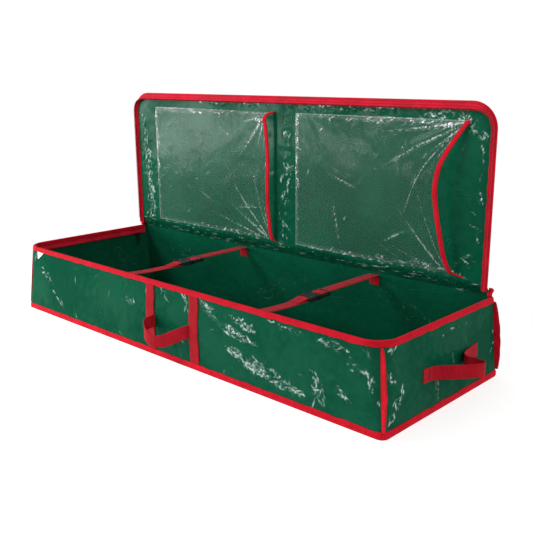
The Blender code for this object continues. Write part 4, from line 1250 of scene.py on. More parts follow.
@dataclass
class BoxCloth:
    """The four walls, the floor cloth and the covered board that lies on it."""

    step: float = 0.002
    floor: float = 0.0015
    board: float = 0.003
    board_clear: float = 0.002
    crinkles: dict[Side, tuple[Patch, ...]] = field(default_factory=lambda: {
        Side.FRONT: patches(
            (77, 94, 42, 9, -32), (126, 44, 28, 7, -40, 15), (195, 112, 10, 4, -58),
            (407, 96, 20, 6, -12, 15), (358, 24, 16, 6, -30, 15), (511, 134, 20, 6, -45),
            (578, 124, 26, 8, -60), (566, 46, 16, 6, -40, 12), (640, 134, 24, 6, -19, 30),
            (728, 122, 34, 8, -18, 34), (716, 98, 52, 9, -9, 34), (729, 52, 46, 10, -19, 30),
            (780, 46, 92, 13, -14, 36, 1.4), (850, 30, 30, 7, -12), (832, 138, 40, 5, -5, 26),
            (942, 128, 34, 8, -9, 26), (897, 52, 34, 11, -62, 26), (950, 55, 24, 8, -24, 30),
            (982, 104, 22, 8, -10, 26), (1010, 78, 28, 7, -69, 26), (1004, 136, 12, 10, -50, 20)),
        Side.RIGHT: patches(
            (34, 48, 32, 9, 54, 34), (16, 94, 13, 6, -51, 34), (22, 138, 12, 7, 30),
            (200, 128, 60, 6, 0, 6), (340, 66, 40, 8, 70, 6)),
        Side.LEFT: patches(
            (80, 70, 60, 20, 50), (290, 100, 50, 14, -40)),
        Side.BACK: patches(
            (200, 90, 90, 20, 25), (560, 60, 100, 18, -30), (860, 100, 80, 16, 10))})

    def build(self) -> None:
        """Make and dress every sheet of the box."""
        for number, side in enumerate(Side):
            word = side.name.lower() + ("_end" if side in (Side.LEFT, Side.RIGHT) else "")
            self.wall(side, word, 40 * number + 7)
        low = self.floor + BOX.gap
        floor = self.level_sheet("floor_cloth", 0, self.floor, 0)
        seat(floor, "base", "green_fabric", GREEN, "bottom_panel")
        board = self.level_sheet("floor_board_cover", low, low + self.board, -BOX.wall - self.board_clear)
        seat(board, "base", "dark_green_fabric", DARK_GREEN, "bottom_board")

    def wall(self, side: Side, word: str, seed: int) -> None:
        """One wall: crumpled faces on both sides that fade to flat under the bindings.

        Args:
            side: Which wall.
            word: What its pieces are named for.
            seed: The first of its scatters' seeds.
        """
        top = BOX.height - (0.0 if side is Side.BACK else BOX.tape) - BOX.gap
        foot = self.floor + BOX.gap
        length = BOX.wall_length(side, BOX.height / 2)
        trim = BOX.gap / 2 / length
        run = np.linspace(trim, 1 - trim, int(length / self.step) + 1)
        z = np.linspace(foot, top, int((top - foot) / self.step) + 1)
        x = run * length
        rim = top if side is Side.BACK else BOX.height - BOX.rim_leg
        held = window(z, BOX.foot_tape - 0.003, rim + 0.003, 0.01)[:, None] * window(x, 0, length, 0.016)
        upright = (radians(65), radians(115))
        outer, shine = crumple(x, z, (
            Scatter(seed, 200, (0.05, 0.15), (0.014, 0.03), 0.001),
            Scatter(seed + 1, 450, (0.018, 0.07), (0.004, 0.008), 0.0011),
            Scatter(seed + 2, 260, (0.015, 0.035), (0.004, 0.006), 0.0009, upright, 0.3),
            *self.crinkles[side]), 0.0016)
        inner, _ = crumple(x, z, (
            Scatter(seed + 20, 200, (0.05, 0.14), (0.012, 0.03), 0.0006),
            Scatter(seed + 21, 900, (0.02, 0.06), (0.005, 0.01), 0.0004)), 0.0007)
        outer, inner = outer * held, inner * held
        front = BOX.wall_points(side, run[None, :], z[:, None], outer)
        back = BOX.wall_points(side, run[None, :], z[:, None], inner - BOX.wall - 0.0002 * held)
        places = stacked(x[None, :], z[:, None])
        cloth = closed_sheet(word + "_cloth", front, back, places, {"glint": shine})
        seat(cloth, "base", "green_fabric", GREEN, word + "_panel")

    def level_sheet(self, name: str, low: float, high: float, offset: float) -> Piece:
        """A level sheet inside the walls' outline: rings drawn in from the outline to the middle.

        Args:
            name: The piece's name.
            low: Height of its underside.
            high: Height of its top.
            offset: How far its outline lies from the walls' outer face.

        Returns:
            The object.
        """
        rows, columns = 60, 150
        x_half, y_low = BOX.corners(Side.RIGHT, np.array(low))[0] + (offset, -offset)
        y_high = BOX.corners(Side.BACK, np.array(low))[0][1] + offset
        radius = BOX.foot_radius + offset
        y = np.linspace(y_low, y_high, rows + 1)
        near = np.minimum(y - y_low, y_high - y)
        inset = radius - np.sqrt(np.maximum(radius ** 2 - np.maximum(radius - near, 0) ** 2, 0))
        line = np.linspace(-x_half, x_half, columns + 1)
        x = np.linspace(-1, 1, columns + 1)[None, :] * (x_half - inset)[:, None]
        flat = stacked(x, y[:, None])
        wave, _ = crumple(line, y, [Scatter(len(name), 90, (0.06, 0.2), (0.012, 0.03), 0.0005)], 0.0006)
        held = window(y, y_low, y_high, 0.02)[:, None] * window(line, -x_half, x_half, 0.02)
        if low == 0.0:
            held = 0 * held
        top, under = stacked(x, y[:, None], high + wave * held), stacked(x, y[:, None], low)
        return closed_sheet(name, top, under, flat)


@dataclass
class BoxBindings:
    """The tape round the foot, the tape folded over the rim and the four bound corner seams."""

    step: float = 0.0035
    crown: float = 0.001
    fin_width: float = 0.012
    fin_thick: float = 0.0022
    fin_root: float = -0.0016
    fin_folds: tuple[float, ...] = tuple(radians(fold) for fold in (104.0, 26.0, 40.0, 70.0))

    def build(self) -> None:
        """Make and dress every binding."""
        self.foot_tape()
        self.rim_tape()
        corners = (("front_left", -1.0, -1.0), ("front_right", 1.0, -1.0), ("rear_right", 1.0, 1.0),
                   ("rear_left", -1.0, 1.0))
        for (label, x_sign, y_sign), fold in zip(corners, self.fin_folds):
            self.fin(label, x_sign, y_sign, fold)

    def around(self, sides: Sequence[Side], section: Array,
               ripple: Optional[Callable[[Array, Array], Array]] = None) -> tuple[Array, Array]:
        """Carry a section of heights and offsets along several walls, or round all four.

        Args:
            sides: The walls, in order.
            section: Heights and offsets.
            ripple: Moves the sections, given the run and the sections.

        Returns:
            The rings and the distance along them.
        """
        closed = len(sides) == len(Side)
        lengths = [BOX.wall_length(side, BOX.height / 2) for side in sides]
        rings, runs, gone = [], [], 0.0
        for number, (side, length) in enumerate(zip(sides, lengths)):
            last = number == len(sides) - 1
            low = BOX.gap / length if number == 0 and not closed else 0.0
            high = 1 - (BOX.gap / length if last and not closed else 0)
            share = np.linspace(low, high, int(length / self.step) + 1)
            if closed or not last:
                share = share[:-1]
            run = gone + share * length
            moved = np.broadcast_to(section, (len(run),) + section.shape).copy()
            if ripple:
                moved = ripple(run, moved)
            rings.append(BOX.wall_points(side, share[:, None], moved[..., 0], moved[..., 1]))
            runs.append(run)
            gone += length
        if closed:
            runs.append(np.array([sum(lengths)]))
        return np.concatenate(rings), np.concatenate(runs)

    def foot_tape(self) -> None:
        """Folded tape round the foot, with a soft crown and an uneven upper edge."""
        near, far = BOX.gap, BOX.gap + BOX.tape
        share = np.linspace(0, 1, 11)
        outer = stacked(BOX.foot_tape * share, far + self.crown * np.sin(pi * share) ** 0.8)
        section = np.vstack([outer, stacked(BOX.foot_tape * share[::-2], near)])

        def ripple(run: Array, moved: Array) -> Array:
            """Ease the upper edge up and down and the face in and out, along the run."""
            upper = smooth(moved[..., 0] / BOX.foot_tape)
            moved[..., 0] += upper * sway(run, 3, 0.05)[:, None] * 0.0005
            moved[..., 1] += (moved[..., 1] > far) * sway(run, 4, 0.018)[:, None] * 0.0003
            return moved
        rings, run = self.around(tuple(Side), section, ripple)
        tape = swept("foot_tape", rings, run, closed=True)
        seat(tape, "base", "red_tape", RIM_TAPE, "bottom_binding")

    def rim_tape(self) -> None:
        """Tape folded over the rim: an outer leg, a rounded top and an inner leg."""
        near, far = BOX.gap, BOX.gap + BOX.tape
        deep, deeper = -BOX.inner_leg, -BOX.inner_leg - BOX.tape
        low, high = BOX.height - BOX.rim_leg, BOX.height - BOX.tape
        leg = np.linspace(0, 1, 6)
        outer = stacked(lerp(low, high, leg), far + 0.0003 * np.sin(pi * leg))
        turn = np.linspace(0, pi, 9)[1:-1]
        middle, half = (far + deeper) / 2, (far - deeper) / 2
        crest = stacked(high + BOX.tape * np.sin(turn), middle + half * np.cos(turn))
        inner = stacked(lerp(high, low, leg), deeper)
        hollow = [(low, deep), (high, deep), (high, near), (low, near)]
        section = np.vstack([outer, crest, inner, hollow])

        def ripple(run: Array, moved: Array) -> Array:
            """Ease the lower edges up and down and the outer leg in and out, along the run."""
            lower = smooth((high - moved[..., 0]) / (high - low))
            moved[..., 0] += lower * sway(run, 5, 0.06)[:, None] * 0.0006
            face = moved[..., 1] > near + BOX.gap
            moved[..., 1] += face * lower * (0.0003 + 0.0003 * sway(run, 6, 0.02)[:, None])
            return moved
        rings, run = self.around(OPEN_SIDES, section, ripple)
        seat(swept("rim_tape", rings, run), "base", "red_tape", RIM_TAPE, "rim_binding")

    def fin(self, corner: str, x_sign: float, y_sign: float, lean: float) -> None:
        """A bound seam that stands out of a corner, narrow at both ends, and leans to the end wall.

        Args:
            corner: Its corner's name.
            x_sign: The sign of X at its corner.
            y_sign: The sign of Y there.
            lean: Its angle from straight out of the corner.
        """
        low, high = BOX.foot_tape + BOX.gap, BOX.under_rim
        run = np.linspace(0, 1, 46)
        z = lerp(low, high, run)
        share = z / BOX.height
        radius, flare = np.full_like(z, BOX.foot_radius), BOX.back_flare
        if y_sign < 0:
            radius, flare = lerp(BOX.foot_radius, BOX.rim_radius, share), BOX.front_flare
        x = BOX.length / 2 + BOX.end_flare * (1 - share)
        y = BOX.width / 2 + flare * (1 - share)
        radial, sideways = unit(np.array([x_sign, y_sign, 0.0])), unit(np.array([x_sign, -y_sign, 0.0]))
        centre = stacked(x_sign * (x - radius), y_sign * (y - radius), z)
        root = centre + radial * (radius + BOX.gap + self.fin_thick * 0.6)[:, None]
        seed = int(2 * x_sign + y_sign) + 11
        fold = (lean + 0.1 * sway(z, seed, 0.05) * np.sin(pi * run))[:, None]
        blade = radial * np.cos(fold) + sideways * np.sin(fold)
        face = sideways * np.cos(fold) - radial * np.sin(fold)
        turn = np.linspace(-pi / 2, pi / 2, 7)
        half = self.fin_thick / 2
        tip = stacked(self.fin_width - half + half * np.cos(turn), half * np.sin(turn))
        body = np.linspace(self.fin_width - half, self.fin_root, 6)[1:]
        swell = 0.0002 * np.sin(pi * np.clip(body / self.fin_width, 0, 1))
        upper = stacked(body, half + swell)
        section = np.vstack([tip, upper, upper[::-1] * (1, -1)])
        wide = 0.42 + 0.58 * np.sin(pi * run) ** 0.7
        rings = framed(root, blade, face, section * stacked(wide, 1.0)[:, None])
        tape = swept(corner + "_seam_tape", rings, z - low)
        seat(tape, "base", "red_tape", PLAIN_TAPE, corner + "_corner_binding")


@dataclass
class BoxZip:
    """The zip's lower half: tape, coil, knotted ends, sliders and pulls."""

    drop: float = 0.019
    flop: float = 0.0045
    tab_height: float = 0.016
    tab_depth: float = 0.012
    lid_inset: float = 0.0108

    def build(self) -> None:
        """Make and dress every piece of the lower zip."""
        self.tape_and_coil()
        for hand in Hand:
            self.knot(hand)
            dress_node(hand.word + "_zipper_slider", BLACK_PLASTIC, 0.0003)
            dress_node(hand.word + "_pull_tab", BLACK_PLASTIC, 0.0003)

    def tape_and_coil(self) -> None:
        """The tape that hangs inside the rim, and the coil wound along its lower edge."""
        bands = BoxBindings(step=0.005)
        top = BOX.height - BOX.tape - BOX.gap
        bend = BOX.under_rim
        near = -(BOX.wall + BOX.gap)
        foot = BOX.height - self.drop
        half = ZIP.tape / 2
        middle = near - half - self.flop
        drop = np.linspace(0, 1, 5)
        face = stacked(lerp(bend, foot, drop), lerp(near, middle + half, drop ** 1.3))
        rear = stacked(lerp(foot, bend, drop), lerp(middle - half, near - ZIP.tape, drop ** (1 / 1.3)))
        section = np.vstack([[(top, near)], face, rear, [(top, near - ZIP.tape)]])
        rings, run = bands.around(OPEN_SIDES, section)
        seat(swept("rim_zip_tape", rings, run), "base", "red_tape", ZIP_TAPE, "base_zipper_tape")
        centre_z = foot - BOX.gap - ZIP.radius
        even = ZIP.places(0, run[-1])
        lines = [bands.around(OPEN_SIDES, np.array([(centre_z + up, middle + out)]))[0][:, 0]
                 for up, out in ((0, 0), (0.001, 0), (0, 0.001))]
        coil = ZIP.coil("rim_zip_coil", [reread(line, run, even) for line in lines], even)
        seat(coil, "base", "red_tape", ZIP_COIL, "base_zipper_coil")

    def knot(self, hand: Hand) -> None:
        """The knotted tape end at the rear corner of the rim.

        Its rings swell and narrow again, sway from back to front, and twist, with three lobes round
        them where the tape's turns lie.

        Args:
            hand: Which end of the box.
        """
        outer = BOX.length / 2 - BOX.gap
        inner = BOX.length / 2 - self.lid_inset + 2 * BOX.gap
        rear = BOX.width / 2 - BOX.wall
        run = np.linspace(0, 1, 30)[:, None]
        turn = np.arange(24) * tau / 24
        swell = np.sin(pi * lerp(0.1, 0.9, run))
        lobes = 1 + 0.13 * np.cos(3 * turn + 5 * run) * np.sin(pi * run)
        half_x = (outer - inner) / 2 * lerp(0.75, 1.00, swell) * lobes
        half_y = self.tab_depth / 2 * lerp(0.35, 0.8, swell) * lobes
        x = hand.value * (outer + inner) / 2 + half_x * np.cos(turn)
        y = rear - self.tab_depth * (0.5 + 0.22 * np.sin(tau * run)) + half_y * np.sin(turn)
        z = BOX.height + BOX.gap + self.tab_height * run
        knot = swept(hand.word + "_zip_knot", stacked(x, y, z), run[:, 0] * self.tab_height)
        seat(knot, "base", "red_tape", PLAIN_TAPE, hand.word + "_zipper_end_tab")


@dataclass
class LidCloth:
    """The lid's two skins, its bound edge, and the zip's upper half."""

    step: float = 0.0028
    leg: float = 0.0085
    side_skirt: float = 0.005
    top_skirt: float = 0.0127
    coil_start: float = 0.012
    droop: float = radians(64.0)
    lining_crinkles: tuple[Patch, ...] = patches(
        (-462, 150, 130, 12, 96), (-455, 45, 45, 20, 80), (22, 210, 100, 10, 92, 12),
        (12, 80, 80, 16, 90, 7), (210, 7, 220, 10, 2, 22), (400, 12, 70, 10, -8, 22),
        (-180, 7, 200, 8, 0, 10), (390, 308, 70, 10, -12, 20), (462, 285, 36, 14, -45),
        (150, 310, 150, 8, 0, 14), (470, 40, 34, 12, 20, 11), (482, 170, 90, 5, 90, 11),
        (-150, 312, 120, 6, 0, 9))
    cover_crinkles: tuple[Patch, ...] = patches(
        (-300, 220, 120, 30, 35), (50, 100, 150, 30, -25), (330, 240, 110, 26, -40),
        (-420, 60, 70, 20, 60), (420, 60, 70, 22, -55))

    def build(self) -> None:
        """Make and dress every piece of the lid but its fold and its pockets."""
        seat(self.skin("lid_lining_cloth", True), "lid", "green_fabric", GREEN, "lid_lining")
        seat(self.skin("lid_cover_cloth", False), "lid", "green_fabric", GREEN, "lid_cover")
        self.edge_tape()
        self.skirt()
        dress_node("lid_board", STIFF_BOARD)

    def skin(self, name: str, inside: bool) -> Piece:
        """One skin: rows of points across the lid, drawn in at its rounded top corners.

        Args:
            name: The piece's name.
            inside: Whether it is the lining, which faces forward, or the cover behind the board.

        Returns:
            The object.
        """
        x = np.linspace(-1, 1, int(2 * LID.half_length / self.step) + 1)
        rise = np.linspace(LID.sheet_foot, LID.depth, int((LID.depth - LID.sheet_foot) / self.step) + 1)
        rise[-6:] = LID.depth - (LID.depth - rise[-6:]) * np.linspace(0.7, 0, 6)
        above = np.clip(rise - (LID.depth - LID.radius), 0, LID.radius)
        half = LID.half_length - LID.radius + np.sqrt(np.maximum(LID.radius ** 2 - above ** 2, 0))
        across = x[None, :] * half[:, None]
        seed = 301 if inside else 401
        layers = [Scatter(seed, 90, (0.08, 0.26), (0.016, 0.034), 0.001),
                  Scatter(seed + 1, 320, (0.025, 0.09), (0.006, 0.011), 0.0008),
                  Scatter(seed + 2, 220, (0.015, 0.04), (0.005, 0.007), 0.0007)]
        layers += self.lining_crinkles if inside else self.cover_crinkles
        heights, shine = crumple(x * LID.half_length, rise, layers, 0.0014)
        held = window(rise, LID.sheet_foot, LID.depth - self.leg + 0.002, 0.012)[:, None]
        held = held * smooth((half[:, None] - np.abs(across) - self.leg + 0.002) / 0.012)
        heights = heights * held
        if inside:
            face = LID.place(across, -LID.half - np.maximum(heights, -0.0003), rise[:, None])
            hidden = LID.place(across, -LID.half + LID.sheet, rise[:, None])
        else:
            face = LID.place(across, LID.half + heights, rise[:, None])
            hidden = LID.place(across, LID.half - LID.sheet + np.minimum(heights, 0), rise[:, None])
        return closed_sheet(name, face, hidden, stacked(across, rise[:, None]), {"glint": shine})

    def carried(self, gone: Array, section: Callable[[Array], Array]) -> Array:
        """Carry a section of lifts and insets along the free edge.

        Args:
            gone: Distances along the edge.
            section: Gives lifts and insets, for the share by which each place belongs to the top.

        Returns:
            Rings of points.
        """
        _, _, share = LID.edge(gone, np.zeros_like(gone))
        moved = section(share)
        x, rise, _ = LID.edge(gone[:, None], moved[..., 1])
        return LID.place(x, moved[..., 0], rise)

    def edge_tape(self) -> None:
        """Tape folded over the lid's edge: two legs and a rounded crest."""
        near, far = LID.half + BOX.gap, LID.half + BOX.gap + BOX.tape
        leg = np.linspace(0, 1, 6)
        turn = np.linspace(0, pi, 9)[1:-1]
        front = stacked(-far - 0.0003 * np.sin(pi * leg), lerp(self.leg, -BOX.gap, leg))
        crest = stacked(-far * np.cos(turn), -BOX.gap - BOX.tape * np.sin(turn))
        rear = stacked(far + 0.0003 * np.sin(pi * leg), lerp(-BOX.gap, self.leg, leg))
        hollow = [(near, self.leg), (near, -BOX.gap), (-near, -BOX.gap), (-near, self.leg)]
        outline = np.vstack([front, crest, rear, hollow])
        gone = np.linspace(0, LID.edge_length(), int(LID.edge_length() / 0.0035))

        def section(share: Array) -> Array:
            """The outline, its legs' ends eased in and out along the edge, at every share alike."""
            moved = np.broadcast_to(outline, share.shape + outline.shape).copy()
            loose = smooth(moved[..., 1] / self.leg)
            moved[..., 1] += loose * sway(gone, 8, 0.06)[:, None] * 0.0006
            outer = np.sign(moved[..., 0]) * (np.abs(moved[..., 0]) > near + BOX.gap)
            moved[..., 0] += outer * loose * (0.0002 + 0.0002 * sway(gone, 9, 0.02)[:, None])
            return moved
        tape = swept("lid_edge_tape", self.carried(gone, section), gone)
        seat(tape, FOLD_LINE, "red_tape", RIM_TAPE, "lid_edge_binding")

    def spine(self, share: Array, reach: Array) -> tuple[Array, Array, Array]:
        """The middle of the zip tape, which stands out of the lid's sides and droops along its top.

        Args:
            share: How far each place belongs to the top, from 0 to 1.
            reach: Shares of the tape's length.

        Returns:
            Lifts and insets, the tape's direction, and the direction square to it.
        """
        root = np.array((-(LID.half + BOX.gap + BOX.tape + BOX.gap + ZIP.tape / 2), ZIP.tape))
        droop = self.droop * share
        direction = stacked(-np.cos(droop), np.sin(droop))
        length = lerp(self.side_skirt, self.top_skirt, share)
        normal = stacked(direction[..., 1], -direction[..., 0])
        return root + direction * (length * reach)[..., None], direction, normal

    def skirt(self) -> None:
        """The lid's zip tape and the coil along its free edge."""
        gone = np.linspace(0, LID.edge_length(), int(LID.edge_length() / 0.004))

        def section(share: Array) -> Array:
            """A thin outline on both sides of the tape's middle, for each share."""
            rows = []
            for side, stops in ((1, np.linspace(0, 1, 5)), (-1, np.linspace(1, 0, 5))):
                for stop in stops:
                    spot, _, normal = self.spine(share, stop)
                    rows.append(spot + normal * side * ZIP.tape / 2)
            return np.stack(rows, 1)
        tape = swept("lid_zip_tape", self.carried(gone, section), gone)
        seat(tape, FOLD_LINE, "red_tape", ZIP_TAPE, "lid_zipper_tape")
        even = ZIP.places(self.coil_start, LID.edge_length() - self.coil_start)
        _, _, share = LID.edge(even, np.zeros_like(even))
        length = lerp(self.side_skirt, self.top_skirt, share)
        spot, direction, normal = self.spine(share, (length + BOX.gap + ZIP.radius) / length)
        lines = []
        for moved in (spot, spot + direction * 0.001, spot + normal * 0.001):
            x, rise, _ = LID.edge(even, moved[..., 1])
            lines.append(LID.place(x, moved[..., 0], rise))
        seat(ZIP.coil("lid_zip_coil", lines, even), "lid", "red_tape", ZIP_COIL, "lid_zipper_coil")


@dataclass
class HingeCloth:
    """The cloth that runs from the back wall's top into the lid and bends where the lid turns."""

    lap: float = 0.0012
    into_lid: float = 0.0078
    cover: float = 0.0003

    def build(self) -> None:
        """Make the cloth that runs between the box and the lid.

        Its middle runs straight from the back wall's top to the lid's fold and then up the lid, and
        it is drawn in at the fold. Below the lid's tape it is wider, and bends round the box's corners.
        """
        half_x = LID.half_length + 0.001
        x = np.linspace(-half_x, half_x, 560)
        z = np.concatenate([np.linspace(BOX.height - self.lap, LID.hinge_z, 26)[:-1],
                            np.linspace(LID.hinge_z, LID.hinge_z + self.into_lid, 12)])
        _, shine = crumple(x, z, [Scatter(701, 9000, (0.01, 0.045), (0.003, 0.005), 0.0004,
                                          (radians(-8), radians(8)), 0.45)], 0.0004)
        rise = (z - LID.hinge_z)[:, None]
        climb = np.clip((z - BOX.height) / (LID.hinge_z - BOX.height), 0, 1)[:, None]
        waist = np.exp(-(rise / 0.0035) ** 2)
        wave = 0.0009 * sway(x, 21, 0.045)[None, :] * np.sin(pi * climb)
        wave = wave + 0.0005 * sway(x, 22, 0.014)[None, :] * waist
        middle = lerp(BOX.width / 2 - BOX.wall / 2, LID.hinge_y, climb)
        wider = 1 + 0.011 * smooth((LID.hinge_z + LID.skirt_start - z) / 0.003)
        across = x[None, :] * wider[:, None]
        past = np.maximum(np.abs(across) - BOX.length / 2 + BOX.foot_radius, 0)
        bend = BOX.foot_radius - np.sqrt(BOX.foot_radius ** 2 - past ** 2)
        middle = middle - np.maximum(rise, 0) * tan(LID.lean) + wave - bend
        half = BOX.wall / 2 + self.cover - 0.0007 * waist
        half = lerp(half, LID.half + self.cover, smooth(rise / 0.004))
        height = z[:, None]
        cloth = closed_sheet("hinge_cloth", stacked(across, middle - half, height),
                             stacked(across, middle + half, height), stacked(across, height),
                             {"glint": shine})
        seat(cloth, FOLD_LINE, "green_fabric", GREEN_HINGE, "fabric_hinge", "lid_fold")


@dataclass
class Pocket:
    """One clear pocket: a film sewn down on three sides, with a bound mouth that gapes."""

    name: str
    seam: float
    mouth: float
    gape: float
    pull: float
    seed: int
    bow_shares: tuple[Pair, ...]
    foot: float = 0.01
    top: float = 0.296
    film: float = 0.0005
    tape_width: float = 0.008
    tape_thick: float = 0.0009
    hem: float = 0.006

    def build(self) -> None:
        """Make the film and the tape on its mouth."""
        film = self.film_sheet()
        seat(film, "lid", "clear_film", CLEAR, self.name + "_pocket_film")
        tape = self.mouth_tape()
        seat(tape, "lid", "red_tape", RIM_TAPE, self.name + "_pocket_mouth_binding")

    def spot(self, along: Array, up: Array, lift: Array = 0.0) -> Array:
        """Points of the film, which draws back at its mouth by the pull and swells by the gape.

        Args:
            along: Shares from the seam to the mouth.
            up: Shares from the foot to the top.
            lift: Extra distance off the lining.

        Returns:
            Points.
        """
        bow = curve_through(np.array(self.bow_shares) / 100, 200)
        round_bow = 1 - np.abs(2 * up - 1) ** 3
        belly = lerp(round_bow, np.interp(up, bow[:, 0], bow[:, 1]), smooth(along * 1.25 - 0.25))
        x = self.seam + (self.mouth - self.seam) * along - self.pull * along ** 2 * belly
        opened = smooth((along - 2 / 3) * 3)
        room = BOX.gap + self.film / 2 + (self.tape_thick + 2 * BOX.gap) * opened
        swell = self.gape * belly * np.sin(pi / 2 * along)
        return LID.place(x, -(LID.half + room + swell + lift), lerp(self.foot, self.top, up))

    def film_sheet(self) -> Piece:
        """The film: folds that fan out of the mouth's sewn ends, and a scatter of short ones.

        Returns:
            The object.
        """
        span, height = self.mouth - self.seam, self.top - self.foot
        along, up = np.linspace(0, 1, 170), np.linspace(0, 1, 118)
        x, y = along * span, up * height
        fanned, seamed = (0.006, 0.014), self.seed + 2
        layers = [
            Fan(self.seed, (span, height), (radians(183), radians(262)), 9, (0.08, 0.3),
                fanned, 0.0016),
            Fan(self.seed + 1, (span, 0), (radians(98), radians(177)), 8, (0.07, 0.26),
                fanned, 0.0014),
            Scatter(seamed, 160, (0.05, 0.16), (0.008, 0.018), 0.0009, glinting=0.25),
            Scatter(seamed + 1, 700, (0.015, 0.05), (0.004, 0.008), 0.0005, glinting=0.05),
            Patch((0.005, height * 0.55), (height * 0.44, 0.007), 90, 27000),
            Patch((span * 0.45, height - 0.006), (span * 0.44, 0.007), 0, 19000),
            Patch((span - 0.03, height - 0.012), (0.03, 0.012), -20, 20000),
            Patch((span * 0.6, 0.006), (span * 0.36, 0.005), 0, 12000)]
        lift, shine = crumple(x, y, layers, 0.0022)
        held = smooth(x / 0.012)[None, :] * window(y, 0, height, 0.01)[:, None]
        held = held * smooth((span - x) / 0.02)[None, :]
        lift = np.maximum(lift, -0.2 * np.abs(lift)) * held
        rim = np.minimum(x[None, :], np.minimum(y, height - y)[:, None])
        # The glint and edge marks become painted highlights on the film; the hem mark makes it a little
        # more opaque.
        marks = {"glint": shine, "hem": 1 - smooth((rim - self.hem) / 0.003),
                 "edge": 1 - smooth(rim / 0.0022)}
        grid_along, grid_up = np.meshgrid(along, up)
        middle = self.spot(grid_along, grid_up, lift)
        half = np.array([0.0, cos(LID.lean), sin(LID.lean)]) * self.film / 2
        return closed_sheet(self.name + "_pocket_sheet", middle - half, middle + half,
                            stacked(x[None, :], y[:, None]), marks)

    def mouth_tape(self) -> Piece:
        """The tape folded over the film's free edge, with its section turned to follow the film.

        Returns:
            The object.
        """
        near = self.film / 2 + BOX.gap
        far = near + self.tape_thick
        crest = BOX.gap + self.tape_thick
        turn = np.linspace(pi / 2, -pi / 2, 7)
        width = np.linspace(self.tape_width, 0, 5)
        section = np.vstack([stacked(width, far), stacked(-crest * np.cos(turn), far * np.sin(turn))[1:-1],
                             stacked(width[::-1], -far), [(self.tape_width, -near), (-BOX.gap, -near)],
                             [(-BOX.gap, near), (self.tape_width, near)]])
        up = np.linspace(0, 1, 120)
        here = self.spot(np.ones_like(up), up)
        into = unit(self.spot(np.full_like(up, 11 / 12), up) - here)
        rise = unit(np.gradient(here, axis=0))
        normal = unit(np.cross(into, rise))
        rings = framed(here, into, normal, section)
        return swept(self.name + "_pocket_mouth_tape", rings, run_length(here))


